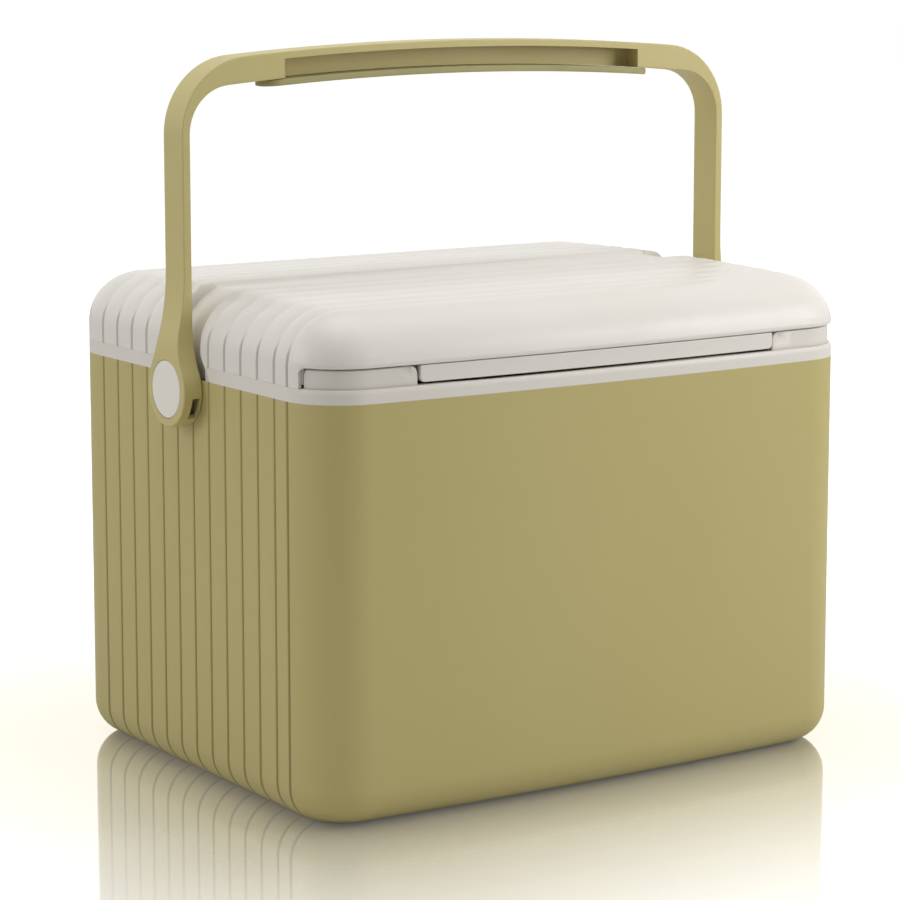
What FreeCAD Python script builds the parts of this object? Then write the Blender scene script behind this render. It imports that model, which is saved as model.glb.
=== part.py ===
"""A portable hard cool box: foam-filled olive body, off-white hinged lid and a swinging bail handle.

Axes: X runs across the front, Y runs from front to back, Z is up. The origin is in the base plane,
midway between the two sides and straight below the handle's pivots. Everything is in millimetres.
"""
import FreeCAD, Part
import math
import os

V = FreeCAD.Vector

# ---- Overall sizes ---------------------------------------------------------------------------
BODY_WIDTH = 340.0          # across the two ribbed sides
BODY_DEPTH = 264.0          # from the flat back to the front corners
FRONT_BOW = 6.0             # how far the middle of the front stands out past its corners
SHELL_HEIGHT = 214.5        # base plane to the top edge of the olive shell
CORNER_RADIUS = 32.0        # upright corners, seen from above
BASE_FILLET = 19.0          # rounding round the bottom of the shell
SHELL_WALL = 2.6

# ---- Ribs: narrow grooves pressed into both sides, carried on over the lid ----------------------
GROOVE_PITCH = 16.6
GROOVE_MARGIN = 28.3        # from the back, or from the front corners, to the outermost groove
OUTER_GROOVE_STEP = 12.4    # from the outermost groove to the first of the regular ones
GROOVE_WIDTH = 1.6
GROOVE_DEPTH = 1.1
GROOVE_REACH = 24.0         # how far the grooves run in under the base from each side

# ---- Food compartment -------------------------------------------------------------------------
INSULATED_WALL = 25.0       # from the outside of the body to the compartment
CAVITY_FLOOR = 26.0
CAVITY_RADIUS = 24.0
CAVITY_FILLET = 14.0
LINER_WALL = 2.0
LINER_FLANGE = 12.0         # how far the liner's top flange reaches out under the collar

# ---- Collar on top of the shell ------------------------------------------------------------------
COLLAR_HEIGHT = 7.2
COLLAR_TOP_WALL = 2.6
COLLAR_RIM_STEP = 1.2       # how much further in the collar's rim reaches than its tongue
TONGUE_LENGTH = 7.5         # locating tongue that drops inside the shell
TONGUE_WALL = 2.4
CURB_HEIGHT = 9.7           # raised curb at the two front corners
CURB_SETBACK = 2.2
CURB_WALL = 4.0
CURB_RETURN = 20.0          # how far back from the front the curb starts, past the corner

# ---- Lid --------------------------------------------------------------------------------------
LID_RISE = 38.9             # from the collar's top to the highest point of the closed lid
LID_CROWN = 3.6             # fall of the top towards the front and the back
LID_CORNER_MARGIN = 3.0     # the lid's rounding is this much tighter than the upright corners
LID_WALL = 2.4
LID_GAP = 0.4               # shadow gap between collar and lid
STEP_GAP = 0.6              # shadow gap between curb and lid
PANEL_WALL = 2.2
PLUG_DROP = 11.0            # how far the plug reaches down into the compartment
PLUG_CLEARANCE = 1.2
GASKET_THICKNESS = 1.8
GASKET_WIDTH = 6.0
GASKET_OFFSET = 3.0         # from the edge of the compartment to the gasket
GASKET_GAP = 0.1
PULL_BAR_MARGIN = 58.5      # from the side of the box to the end of the bar
PULL_BAR_HEIGHT = 7.6
PULL_BAR_SETBACK = 1.2
PULL_BAR_WALL = 3.0
PULL_BAR_SIDE_GAP = 0.8
BAR_TO_COVER_GAP = 0.4

# ---- Channel in each side of the lid, where the handle's arms stand --------------------------------
CHANNEL_CLEARANCE = 5.5     # beside the arm
CHANNEL_DEPTH = 3.6
CHANNEL_RADIUS = 40.0       # rounding of the channel's floor where it runs out on the top
CHANNEL_FLARE = 9.4         # how much wider the channel is on each side at the collar's bottom edge
CHANNEL_FLARE_HEIGHT = 12.7

# ---- Lid hinge ----------------------------------------------------------------------------------
HINGE_INSET = 75.0          # from the side of the box to the middle of each hinge
HINGE_BACK_GAP = 0.7        # between the knuckles and the flat back
HINGE_AXIS_UP = 4.3         # above the collar
HINGE_RADIUS = 4.5
HINGE_PIN_RADIUS = 2.0
HINGE_OUTER_KNUCKLE = 12.0
HINGE_LID_KNUCKLE = 22.0
HINGE_END_GAP = 0.3
HINGE_BRACKET_DROP = 6.0    # how far the collar's brackets reach down from the collar's top edge

# ---- Handle ---------------------------------------------------------------------------------------
PIVOT_DROP = 5.9            # below the top edge of the olive shell
PIVOT_TO_TOP = 176.1        # from the pivot to the top of the grip
ARM_WIDTH = 20.2
ARM_THICKNESS = 4.8
ARM_CLEARANCE = 0.3         # between the arms and the sides that they swing past
KNEE_OUTER_RADIUS = 40.0
KNEE_INNER_RADIUS = 25.0
GRIP_RADIUS = 1700.0        # the grip's gentle arch
GRIP_HEIGHT = 13.8          # top of the grip to its underside, where the pad clips on
GRIP_RECESS_MARGIN = 60.9   # from the outside of the arm to the end of the recess
GRIP_RECESS_DEPTH = 12.0
GRIP_FLANGE = 3.7           # above the recess, which the pad closes from below
GRIP_PAD_MARGIN = 50.9      # from the outside of the arm to the end of the pad
GRIP_PAD_THICKNESS = 3.5
GRIP_PAD_ROUNDING = 9.0     # of the pad's ends, seen from above
BOSS_RADIUS = 19.5
BOSS_RIM = 2.4
BOSS_SLEEVE = 3.0
BOSS_WEB = 6.0              # thickness of the boss on the journal
BOSS_FLOOR = 0.8            # between the boss's hollow and the recess for the cap
BOSS_FLARE_RADIUS = 45.0
BOSS_RAMP_START = 21.0      # above the pivot: the arm is still as thick as the boss
BOSS_RAMP_END = 47.0        # above the pivot: the arm has its own thickness
WINDOW_ARC = (-2.0, 37.0)    # degrees below the horizontal, in the front of the boss's rim
WINDOW_WIDTH = 4.6
WINDOW_INSET = 1.2          # from the boss's inner face

# ---- Handle pivots ---------------------------------------------------------------------------------
JOURNAL_RADIUS = 8.0
JOURNAL_CLEARANCE = 0.08
JOURNAL_END_GAP = 0.1
SPIGOT_RADIUS = 4.5         # the hub's spigot in the shell's wall
BACKING_PLATE = 5.0
BACKING_PLATE_WIDTH = 28.0
BACKING_PLATE_DROP = 18.0   # from the pivot's axis down to the plate's lower edge
WASHER_GAP = 0.8            # inside the cap's skirt
WASHER_THICKNESS = 1.2
PIVOT_SCREW_RADIUS = 2.0
PIVOT_SCREW_HEAD_RADIUS = 4.2
PIVOT_SCREW_HEAD = 2.0
PIVOT_SCREW_TIP = 3.0       # screw standing out behind the backing plate
CAP_BORDER = 4.5            # from the cap's edge to the outside of the boss
CAP_RECESS_CLEARANCE = 0.2
CAP_HEADROOM = 0.7          # over the screw's head
CAP_PLATE = 1.1
CAP_PROUD = 0.4
CAP_SKIRT = 1.2

# ---- Clearances between fixed pieces ------------------------------------------------------------------
FIT = 0.2
SEAT = 0.02                 # a pin or thread held tight in its hole

# ---- Levels and planes worked out from the sizes above ----------------------------------------------
HALF_WIDTH = BODY_WIDTH / 2
BACK = BODY_DEPTH / 2
FRONT_MIDDLE = -(BODY_DEPTH / 2 + FRONT_BOW)
BOW_RADIUS = (HALF_WIDTH ** 2 + FRONT_BOW ** 2) / (2 * FRONT_BOW)
BOW_CENTRE_Y = FRONT_MIDDLE + BOW_RADIUS
CORNER_X = HALF_WIDTH - CORNER_RADIUS
FRONT_CORNER_Y = BOW_CENTRE_Y - math.sqrt((BOW_RADIUS - CORNER_RADIUS) ** 2 - CORNER_X ** 2)
BACK_CORNER_Y = BACK - CORNER_RADIUS
CAVITY_WIDTH = BODY_WIDTH - 2 * INSULATED_WALL
CAVITY_DEPTH = BODY_DEPTH - 2 * INSULATED_WALL
COLLAR_RIM = SHELL_WALL + FIT + TONGUE_WALL + COLLAR_RIM_STEP
COLLAR_TOP = SHELL_HEIGHT + COLLAR_HEIGHT
CURB_TOP = COLLAR_TOP + CURB_HEIGHT
COVER_BOTTOM = COLLAR_TOP + LID_GAP
COVER_FRONT_BOTTOM = CURB_TOP + STEP_GAP
STEP_Y = -BACK + CURB_RETURN
LID_TOP = COLLAR_TOP + LID_RISE
LID_FILLET = CORNER_RADIUS - LID_CORNER_MARGIN
PULL_BAR_LENGTH = BODY_WIDTH - 2 * PULL_BAR_MARGIN
CHANNEL_WIDTH = ARM_WIDTH + 2 * CHANNEL_CLEARANCE
CHANNEL_FOOT_WIDTH = CHANNEL_WIDTH + 2 * CHANNEL_FLARE
PANEL_BOTTOM = COLLAR_TOP + GASKET_GAP + GASKET_THICKNESS
PANEL_TOP = PANEL_BOTTOM + PANEL_WALL
PANEL_INSET = LID_WALL + FIT
STEP_INSET = CURB_SETBACK + CURB_WALL + 2 * STEP_GAP
HINGE_SPACING = BODY_WIDTH - 2 * HINGE_INSET
HINGE_Y = BACK + HINGE_BACK_GAP + HINGE_RADIUS
HINGE_Z = COLLAR_TOP + HINGE_AXIS_UP
LINER_TOP = COLLAR_TOP - COLLAR_TOP_WALL
ARM_INNER_X = HALF_WIDTH + ARM_CLEARANCE
ARM_OUTER_X = ARM_INNER_X + ARM_THICKNESS
GRIP_RECESS_LENGTH = 2 * (ARM_OUTER_X - GRIP_RECESS_MARGIN)
GRIP_PAD_LENGTH = 2 * (ARM_OUTER_X - GRIP_PAD_MARGIN)
CAP_RADIUS = BOSS_RADIUS - CAP_BORDER
WASHER_RADIUS = CAP_RADIUS - CAP_SKIRT - WASHER_GAP
SCREW_STACK = JOURNAL_END_GAP + WASHER_THICKNESS + PIVOT_SCREW_HEAD
BOSS_THICKNESS = BOSS_WEB + SCREW_STACK + CAP_HEADROOM + CAP_PLATE - CAP_PROUD
BOSS_HOLLOW_DEPTH = BOSS_WEB - BOSS_FLOOR
BOSS_OUTER_X = ARM_INNER_X + BOSS_THICKNESS
PIVOT_HEIGHT = SHELL_HEIGHT - PIVOT_DROP
HANDLE_TOP = PIVOT_HEIGHT + PIVOT_TO_TOP
GRIP_CENTRE_Z = HANDLE_TOP - GRIP_RADIUS
WASHER_X = ARM_INNER_X + BOSS_WEB + JOURNAL_END_GAP
PLATE_X = HALF_WIDTH - SHELL_WALL - BACKING_PLATE
SCREW_TIP_X = PLATE_X - PIVOT_SCREW_TIP
FAR = 2 * BODY_WIDTH        # longer than the object, for cutting tools
SIDES = (("left", -1), ("right", 1))


def line(a, b):
    return Part.LineSegment(a, b).toShape()


def arc(a, middle, b):
    return Part.Arc(a, middle, b).toShape()


def round_point(centre, radius, degrees):
    angle = math.radians(degrees)
    return V(centre.x + radius * math.cos(angle), centre.y + radius * math.sin(angle), centre.z)


def box(x0, x1, y0, y1, z0, z1):
    return Part.makeBox(x1 - x0, y1 - y0, z1 - z0, V(x0, y0, z0))


def rod(side, radius, x0, x1, y=0.0, z=PIVOT_HEIGHT):
    """A cylinder along X from x0 to x1, mirrored to the left where side is -1."""
    return Part.makeCylinder(radius, x1 - x0, V(side * x0, y, z), V(side, 0, 0))


def body_outline(inset, z):
    """The plan of the box: straight sides, flat back, bowed front and round corners."""
    radius = CORNER_RADIUS - inset
    side_x = HALF_WIDTH - inset
    back_y = BACK - inset
    back_left = V(-CORNER_X, BACK_CORNER_Y, z)
    back_right = V(CORNER_X, BACK_CORNER_Y, z)
    front_left = V(-CORNER_X, FRONT_CORNER_Y, z)
    front_right = V(CORNER_X, FRONT_CORNER_Y, z)
    turn = math.degrees(math.asin(CORNER_X / (BOW_RADIUS - CORNER_RADIUS)))
    left_end = round_point(front_left, radius, 270 - turn)
    right_end = round_point(front_right, radius, 270 + turn)
    edges = [
        arc(round_point(back_left, radius, 90), round_point(back_left, radius, 135),
            round_point(back_left, radius, 180)),
        line(V(-side_x, BACK_CORNER_Y, z), V(-side_x, FRONT_CORNER_Y, z)),
        arc(round_point(front_left, radius, 180), round_point(front_left, radius, 225), left_end),
        arc(left_end, V(0, FRONT_MIDDLE + inset, z), right_end),
        arc(right_end, round_point(front_right, radius, 315), round_point(front_right, radius, 360)),
        line(V(side_x, FRONT_CORNER_Y, z), V(side_x, BACK_CORNER_Y, z)),
        arc(round_point(back_right, radius, 0), round_point(back_right, radius, 45),
            round_point(back_right, radius, 90)),
        line(V(CORNER_X, back_y, z), V(-CORNER_X, back_y, z)),
    ]
    return Part.Face(Part.Wire(edges))


def body_prism(inset, z0, z1):
    return body_outline(inset, z0).extrude(V(0, 0, z1 - z0))


def edges_at(solid, z):
    """The edges of a solid that lie in the level plane at z."""
    return [e for e in solid.Edges if abs(e.BoundBox.ZMin - z) < 1e-4 and abs(e.BoundBox.ZMax - z) < 1e-4]


def body_block(inset, z1):
    """The body's outer form, shrunk by inset all round, with its rounded bottom."""
    block = body_prism(inset, inset, z1)
    return block.makeFillet(BASE_FILLET - inset, edges_at(block, inset))


def rounded_box(width, depth, radius, z0, z1):
    block = box(-width / 2, width / 2, -depth / 2, depth / 2, z0, z1)
    uprights = [e for e in block.Edges if e.BoundBox.ZLength > (z1 - z0) / 2]
    return block.makeFillet(radius, uprights)


def groove_positions():
    """Y of every groove, from the back to the front."""
    outermost = BACK - GROOVE_MARGIN
    first = outermost - OUTER_GROOVE_STEP
    gaps = round(2 * first / GROOVE_PITCH)
    regular = [first - i * 2 * first / gaps for i in range(gaps + 1)]
    return [outermost] + regular + [-outermost]


def groove_slabs(z0, z1, skip_half_width):
    """Thin upright slabs, one per groove, apart from those in the middle band."""
    slabs = [box(-FAR, FAR, y - GROOVE_WIDTH / 2, y + GROOVE_WIDTH / 2, z0, z1)
             for y in groove_positions() if abs(y) > skip_half_width]
    return Part.makeCompound(slabs)


# ---- Body --------------------------------------------------------------------------------------------

def outer_shell():
    shell = body_block(0, SHELL_HEIGHT)
    skin = shell.cut(body_block(GROOVE_DEPTH, SHELL_HEIGHT + 1))
    inner_x = HALF_WIDTH - GROOVE_REACH
    skin = skin.cut(box(-inner_x, inner_x, -FAR, FAR, -1, SHELL_HEIGHT + 1))
    shell = shell.cut(skin.common(groove_slabs(-1, SHELL_HEIGHT + 1, 0)))
    shell = shell.cut(body_block(SHELL_WALL, SHELL_HEIGHT + 1))
    for _, side in SIDES:
        shell = shell.cut(rod(side, SPIGOT_RADIUS + SEAT, CORNER_X, HALF_WIDTH + 1))
    return shell


def liner_form(wall, z1):
    """The compartment's form, grown by wall on its sides and floor."""
    floor = CAVITY_FLOOR - wall
    form = rounded_box(CAVITY_WIDTH + 2 * wall, CAVITY_DEPTH + 2 * wall, CAVITY_RADIUS + wall, floor, z1)
    return form.makeFillet(CAVITY_FILLET + wall, edges_at(form, floor))


def inner_liner():
    flange = rounded_box(CAVITY_WIDTH + 2 * LINER_FLANGE, CAVITY_DEPTH + 2 * LINER_FLANGE,
                         CAVITY_RADIUS + LINER_FLANGE, LINER_TOP - LINER_WALL, LINER_TOP)
    tub = liner_form(LINER_WALL, LINER_TOP).fuse(flange)
    return tub.cut(liner_form(0, LINER_TOP + 1)).removeSplitter()


def body_insulation():
    shoulder = SHELL_HEIGHT - TONGUE_LENGTH - FIT
    top = LINER_TOP - LINER_WALL - FIT
    foam = body_block(SHELL_WALL + 2 * FIT, shoulder)
    foam = foam.fuse(body_prism(COLLAR_RIM + FIT, shoulder, top))
    foam = foam.cut(liner_form(LINER_WALL + FIT, COLLAR_TOP))
    for _, side in SIDES:
        foam = foam.cut(pivot_pocket(side))
    return foam


def pivot_pocket(side):
    """Room in the foam for the parts that hold the handle's pivot from behind."""
    half = BACKING_PLATE_WIDTH / 2 + FIT
    low = PIVOT_HEIGHT - BACKING_PLATE_DROP - FIT
    pocket = box(SCREW_TIP_X - FIT, HALF_WIDTH, -half, half, low, SHELL_HEIGHT)
    return pocket if side > 0 else pocket.mirror(V(0, 0, 0), V(1, 0, 0))


def channel_side_profile(z_low, z_high, grow):
    """The channel seen from the side: parallel above, flared towards the collar's bottom edge."""
    half = CHANNEL_WIDTH / 2 + grow
    foot = CHANNEL_FOOT_WIDTH / 2 + grow
    flare_top = SHELL_HEIGHT + CHANNEL_FLARE_HEIGHT
    low_half = foot + (foot - half) * (SHELL_HEIGHT - z_low) / CHANNEL_FLARE_HEIGHT
    points = [V(0, -low_half, z_low), V(0, -half, flare_top), V(0, -half, z_high),
              V(0, half, z_high), V(0, half, flare_top), V(0, low_half, z_low), V(0, -low_half, z_low)]
    return Part.Face(Part.makePolygon(points)).extrude(V(FAR, 0, 0))


def channel_cutter(grow):
    """Everything outside the floor of the right-hand channel. grow widens and deepens it by a wall."""
    floor_x = HALF_WIDTH - CHANNEL_DEPTH - grow
    top = LID_TOP - grow
    radius = CHANNEL_RADIUS
    low = SHELL_HEIGHT - 1
    centre = V(floor_x - radius, 0, top - radius)
    middle = V(centre.x + radius * math.cos(math.pi / 4), 0, centre.z + radius * math.sin(math.pi / 4))
    edges = [
        line(V(floor_x, 0, low), V(floor_x, 0, centre.z)),
        arc(V(floor_x, 0, centre.z), middle, V(centre.x, 0, top)),
        line(V(centre.x, 0, top), V(centre.x, 0, top + FAR)),
        line(V(centre.x, 0, top + FAR), V(FAR, 0, top + FAR)),
        line(V(FAR, 0, top + FAR), V(FAR, 0, low)),
        line(V(FAR, 0, low), V(floor_x, 0, low)),
    ]
    outside = Part.Face(Part.Wire(edges)).extrude(V(0, FAR, 0)).translated(V(0, -FAR / 2, 0))
    return outside.common(channel_side_profile(low, LID_TOP + 1, grow))


def both_sides(solid):
    return Part.makeCompound([solid, solid.mirror(V(0, 0, 0), V(1, 0, 0))])


def curb_zone(z0, z1, start_y):
    """The front corners, from start_y forward, outside the pull bar."""
    zone = box(-FAR, FAR, -FAR, start_y, z0, z1)
    half = PULL_BAR_LENGTH / 2 + PULL_BAR_SIDE_GAP
    return zone.cut(box(-half, half, -FAR, 0, z0 - 1, z1 + 1))


def hinge_barrels(x0, x1):
    return Part.makeCylinder(HINGE_RADIUS, x1 - x0, V(x0, HINGE_Y, HINGE_Z), V(1, 0, 0))


def hinge_bore(x0, x1, clearance):
    return Part.makeCylinder(HINGE_PIN_RADIUS + clearance, x1 - x0, V(x0, HINGE_Y, HINGE_Z), V(1, 0, 0))


def hinge_spans(centre_x):
    """X ranges of the collar's two knuckles and the lid's knuckle between them."""
    half = HINGE_LID_KNUCKLE / 2
    outer = half + HINGE_END_GAP
    end = outer + HINGE_OUTER_KNUCKLE
    collar = [(centre_x - end, centre_x - outer), (centre_x + outer, centre_x + end)]
    return collar, (centre_x - half, centre_x + half)


def rim_collar():
    collar = body_prism(0, SHELL_HEIGHT, COLLAR_TOP)
    collar = collar.cut(body_prism(COLLAR_RIM, SHELL_HEIGHT - 1, COLLAR_TOP - COLLAR_TOP_WALL))
    tongue_inset = SHELL_WALL + FIT
    tongue_low = SHELL_HEIGHT - TONGUE_LENGTH
    tongue = body_prism(tongue_inset, tongue_low, SHELL_HEIGHT)
    tongue = tongue.cut(body_prism(tongue_inset + TONGUE_WALL, tongue_low - 1, SHELL_HEIGHT + 1))
    collar = collar.fuse(tongue)
    curb = body_prism(CURB_SETBACK, COLLAR_TOP, CURB_TOP)
    curb = curb.cut(body_prism(CURB_SETBACK + CURB_WALL, COLLAR_TOP - 1, CURB_TOP + 1))
    collar = collar.fuse(curb.common(curb_zone(COLLAR_TOP, CURB_TOP, STEP_Y - STEP_GAP)))
    opening = rounded_box(CAVITY_WIDTH, CAVITY_DEPTH, CAVITY_RADIUS, LINER_TOP - 1, COLLAR_TOP + 1)
    collar = collar.cut(opening)
    collar = collar.cut(both_sides(channel_cutter(0)))
    for _, side in SIDES:
        for x0, x1 in hinge_spans(side * HINGE_SPACING / 2)[0]:
            front_y = HINGE_Y - HINGE_RADIUS
            back_y = HINGE_Y + HINGE_RADIUS
            low_z = COLLAR_TOP - HINGE_BRACKET_DROP
            bracket = box(x0, x1, BACK - COLLAR_RIM / 2, back_y, low_z, COLLAR_TOP)
            bracket = bracket.fuse(box(x0, x1, front_y, back_y, COLLAR_TOP, HINGE_Z))
            collar = collar.fuse(bracket.fuse(hinge_barrels(x0, x1)))
            collar = collar.cut(hinge_bore(x0, x1, SEAT))
        collar = collar.cut(pivot_pocket(side))
    return collar.removeSplitter()


def hinge_pin(side):
    collar_spans, _ = hinge_spans(side * HINGE_SPACING / 2)
    return hinge_bore(collar_spans[0][0], collar_spans[1][1], 0)


# ---- Lid ----------------------------------------------------------------------------------------------

def lid_block(inset, z0):
    """The lid's outer form, shrunk by inset: plan of the body, crowned top, large roundings."""
    top = LID_TOP - inset
    half = BACK + FRONT_BOW
    drop = LID_CROWN
    profile = Part.Wire([
        line(V(0, -half, z0), V(0, half, z0)),
        line(V(0, half, z0), V(0, half, top - drop)),
        arc(V(0, half, top - drop), V(0, 0, top), V(0, -half, top - drop)),
        line(V(0, -half, top - drop), V(0, -half, z0)),
    ])
    crowned = Part.Face(profile).extrude(V(BODY_WIDTH, 0, 0)).translated(V(-HALF_WIDTH, 0, 0))
    block = body_prism(inset, z0, top + 1).common(crowned)
    rim = [e for e in block.Edges if e.BoundBox.ZMin > top - drop - 1]
    return block.makeFillet(LID_FILLET - inset, rim)


def lid_cover():
    cover = lid_block(0, COVER_BOTTOM)
    skin = cover.cut(lid_block(GROOVE_DEPTH, COVER_BOTTOM - 1))
    band = CHANNEL_WIDTH / 2 + GROOVE_WIDTH
    cover = cover.cut(skin.common(groove_slabs(COVER_BOTTOM - 1, LID_TOP + 1, band)))
    cover = cover.cut(both_sides(channel_cutter(0)))
    hollow = lid_block(LID_WALL, COVER_BOTTOM - 1).cut(both_sides(channel_cutter(LID_WALL)))
    cover = cover.cut(hollow)
    cover = cover.cut(box(-FAR, FAR, -FAR, STEP_Y, COVER_BOTTOM - 1, COVER_FRONT_BOTTOM))
    for _, side in SIDES:
        x0, x1 = hinge_spans(side * HINGE_SPACING / 2)[1]
        bridge = box(x0, x1, BACK - LID_WALL / 2, HINGE_Y, COVER_BOTTOM, HINGE_Z + HINGE_RADIUS)
        cover = cover.fuse(bridge.fuse(hinge_barrels(x0, x1)))
        cover = cover.cut(hinge_bore(x0, x1, JOURNAL_CLEARANCE))
    return cover.removeSplitter()


def lid_inner_panel():
    behind_step = box(-FAR, FAR, STEP_Y + FIT, FAR, PANEL_BOTTOM, PANEL_TOP)
    plate = body_prism(PANEL_INSET, PANEL_BOTTOM, PANEL_TOP).common(behind_step)
    plate = plate.fuse(body_prism(STEP_INSET, PANEL_BOTTOM, PANEL_TOP))
    ledge_low = COVER_FRONT_BOTTOM + FIT
    ledge_top = ledge_low + PANEL_WALL
    riser_back = STEP_Y + FIT + PANEL_WALL
    riser = lid_block(PANEL_INSET, PANEL_BOTTOM)
    riser = riser.common(box(-FAR, FAR, -FAR, riser_back, PANEL_BOTTOM, ledge_top))
    void = body_prism(PANEL_INSET - 1, PANEL_BOTTOM - 1, ledge_low).cut(
        body_prism(STEP_INSET, PANEL_BOTTOM - 2, ledge_low + 1))
    riser = riser.cut(void.common(box(-FAR, FAR, -FAR, STEP_Y + FIT, PANEL_BOTTOM - 1, ledge_low)))
    riser = riser.cut(body_prism(STEP_INSET + PANEL_WALL, PANEL_BOTTOM - 1, ledge_top + 1))
    panel = plate.fuse(riser)
    plug_width = CAVITY_WIDTH - 2 * PLUG_CLEARANCE
    plug_depth = CAVITY_DEPTH - 2 * PLUG_CLEARANCE
    plug_radius = CAVITY_RADIUS - PLUG_CLEARANCE
    plug_low = COLLAR_TOP - PLUG_DROP
    plug = rounded_box(plug_width, plug_depth, plug_radius, plug_low, PANEL_TOP)
    hollow = rounded_box(plug_width - 2 * PANEL_WALL, plug_depth - 2 * PANEL_WALL,
                         plug_radius - PANEL_WALL, plug_low + PANEL_WALL, PANEL_TOP + 1)
    panel = panel.fuse(plug).cut(hollow)
    bar_half = PULL_BAR_LENGTH / 2
    bar_top = COVER_FRONT_BOTTOM - BAR_TO_COVER_GAP
    bar = body_prism(PULL_BAR_SETBACK, bar_top - PULL_BAR_HEIGHT, bar_top)
    bar = bar.fuse(body_prism(PANEL_INSET, bar_top, ledge_low))
    bar = bar.cut(body_prism(PULL_BAR_SETBACK + PULL_BAR_WALL, bar_top - PULL_BAR_HEIGHT - 1, ledge_low + 1))
    bar = bar.common(box(-bar_half, bar_half, -FAR, 0, 0, FAR))
    panel = panel.fuse(bar).cut(both_sides(channel_cutter(PANEL_INSET)))
    return panel.removeSplitter()


def lid_gasket():
    outer = CAVITY_WIDTH + 2 * (GASKET_OFFSET + GASKET_WIDTH)
    inner = CAVITY_WIDTH + 2 * GASKET_OFFSET
    depth_gap = CAVITY_DEPTH - CAVITY_WIDTH
    low = COLLAR_TOP + GASKET_GAP
    radius = CAVITY_RADIUS + GASKET_OFFSET
    ring = rounded_box(outer, outer + depth_gap, radius + GASKET_WIDTH, low, PANEL_BOTTOM)
    return ring.cut(rounded_box(inner, inner + depth_gap, radius, low - 1, PANEL_BOTTOM + 1))


def lid_insulation():
    inset = LID_WALL + FIT
    foam = lid_block(inset, PANEL_TOP + FIT).cut(both_sides(channel_cutter(inset)))
    step_top = COVER_FRONT_BOTTOM + 2 * FIT + PANEL_WALL
    step_back = STEP_Y + 2 * FIT + PANEL_WALL
    step = box(-FAR, FAR, -FAR, step_back, 0, step_top)
    foam = foam.cut(step.cut(body_prism(STEP_INSET + PANEL_WALL + FIT, 0, step_top)))
    shrink = 2 * (PLUG_CLEARANCE + PANEL_WALL + FIT)
    plug = rounded_box(CAVITY_WIDTH - shrink, CAVITY_DEPTH - shrink, CAVITY_RADIUS - shrink / 2,
                       COLLAR_TOP - PLUG_DROP + PANEL_WALL + FIT, PANEL_TOP + 2 * FIT)
    return foam.fuse(plug).removeSplitter()


# ---- Handle ---------------------------------------------------------------------------------------------

def knee(side, outer_x, radius, arch_radius):
    """Start, middle and end of the bend between an arm's face at outer_x and the arched grip."""
    centre_x = outer_x - radius
    rise = math.sqrt((arch_radius - radius) ** 2 - centre_x ** 2)
    centre = V(side * centre_x, 0, GRIP_CENTRE_Z + rise)
    end_angle = math.atan2(rise, centre_x)

    def point(angle):
        return centre + V(side * radius * math.cos(angle), 0, radius * math.sin(angle))

    return point(0), point(end_angle / 2), point(end_angle)


def bail_front_form():
    """The bail seen from the front, as a solid much deeper than the arms are wide."""
    arch_radius = GRIP_RADIUS - GRIP_HEIGHT
    left_out, right_out = [knee(s, ARM_OUTER_X, KNEE_OUTER_RADIUS, GRIP_RADIUS) for s in (-1, 1)]
    left_in, right_in = [knee(s, ARM_INNER_X, KNEE_INNER_RADIUS, arch_radius) for s in (-1, 1)]
    low = PIVOT_HEIGHT - BOSS_RADIUS - 1
    ramp_low = PIVOT_HEIGHT + BOSS_RAMP_START
    ramp_high = PIVOT_HEIGHT + BOSS_RAMP_END
    edges = [
        line(V(-BOSS_OUTER_X, 0, low), V(-BOSS_OUTER_X, 0, ramp_low)),
        line(V(-BOSS_OUTER_X, 0, ramp_low), V(-ARM_OUTER_X, 0, ramp_high)),
        line(V(-ARM_OUTER_X, 0, ramp_high), left_out[0]),
        arc(*left_out),
        arc(left_out[2], V(0, 0, HANDLE_TOP), right_out[2]),
        arc(right_out[2], right_out[1], right_out[0]),
        line(right_out[0], V(ARM_OUTER_X, 0, ramp_high)),
        line(V(ARM_OUTER_X, 0, ramp_high), V(BOSS_OUTER_X, 0, ramp_low)),
        line(V(BOSS_OUTER_X, 0, ramp_low), V(BOSS_OUTER_X, 0, low)),
        line(V(BOSS_OUTER_X, 0, low), V(ARM_INNER_X, 0, low)),
        line(V(ARM_INNER_X, 0, low), right_in[0]),
        arc(*right_in),
        arc(right_in[2], V(0, 0, GRIP_CENTRE_Z + arch_radius), left_in[2]),
        arc(left_in[2], left_in[1], left_in[0]),
        line(left_in[0], V(-ARM_INNER_X, 0, low)),
        line(V(-ARM_INNER_X, 0, low), V(-BOSS_OUTER_X, 0, low)),
    ]
    return Part.Face(Part.Wire(edges)).extrude(V(0, FAR, 0)).translated(V(0, -FAR / 2, 0))


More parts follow.
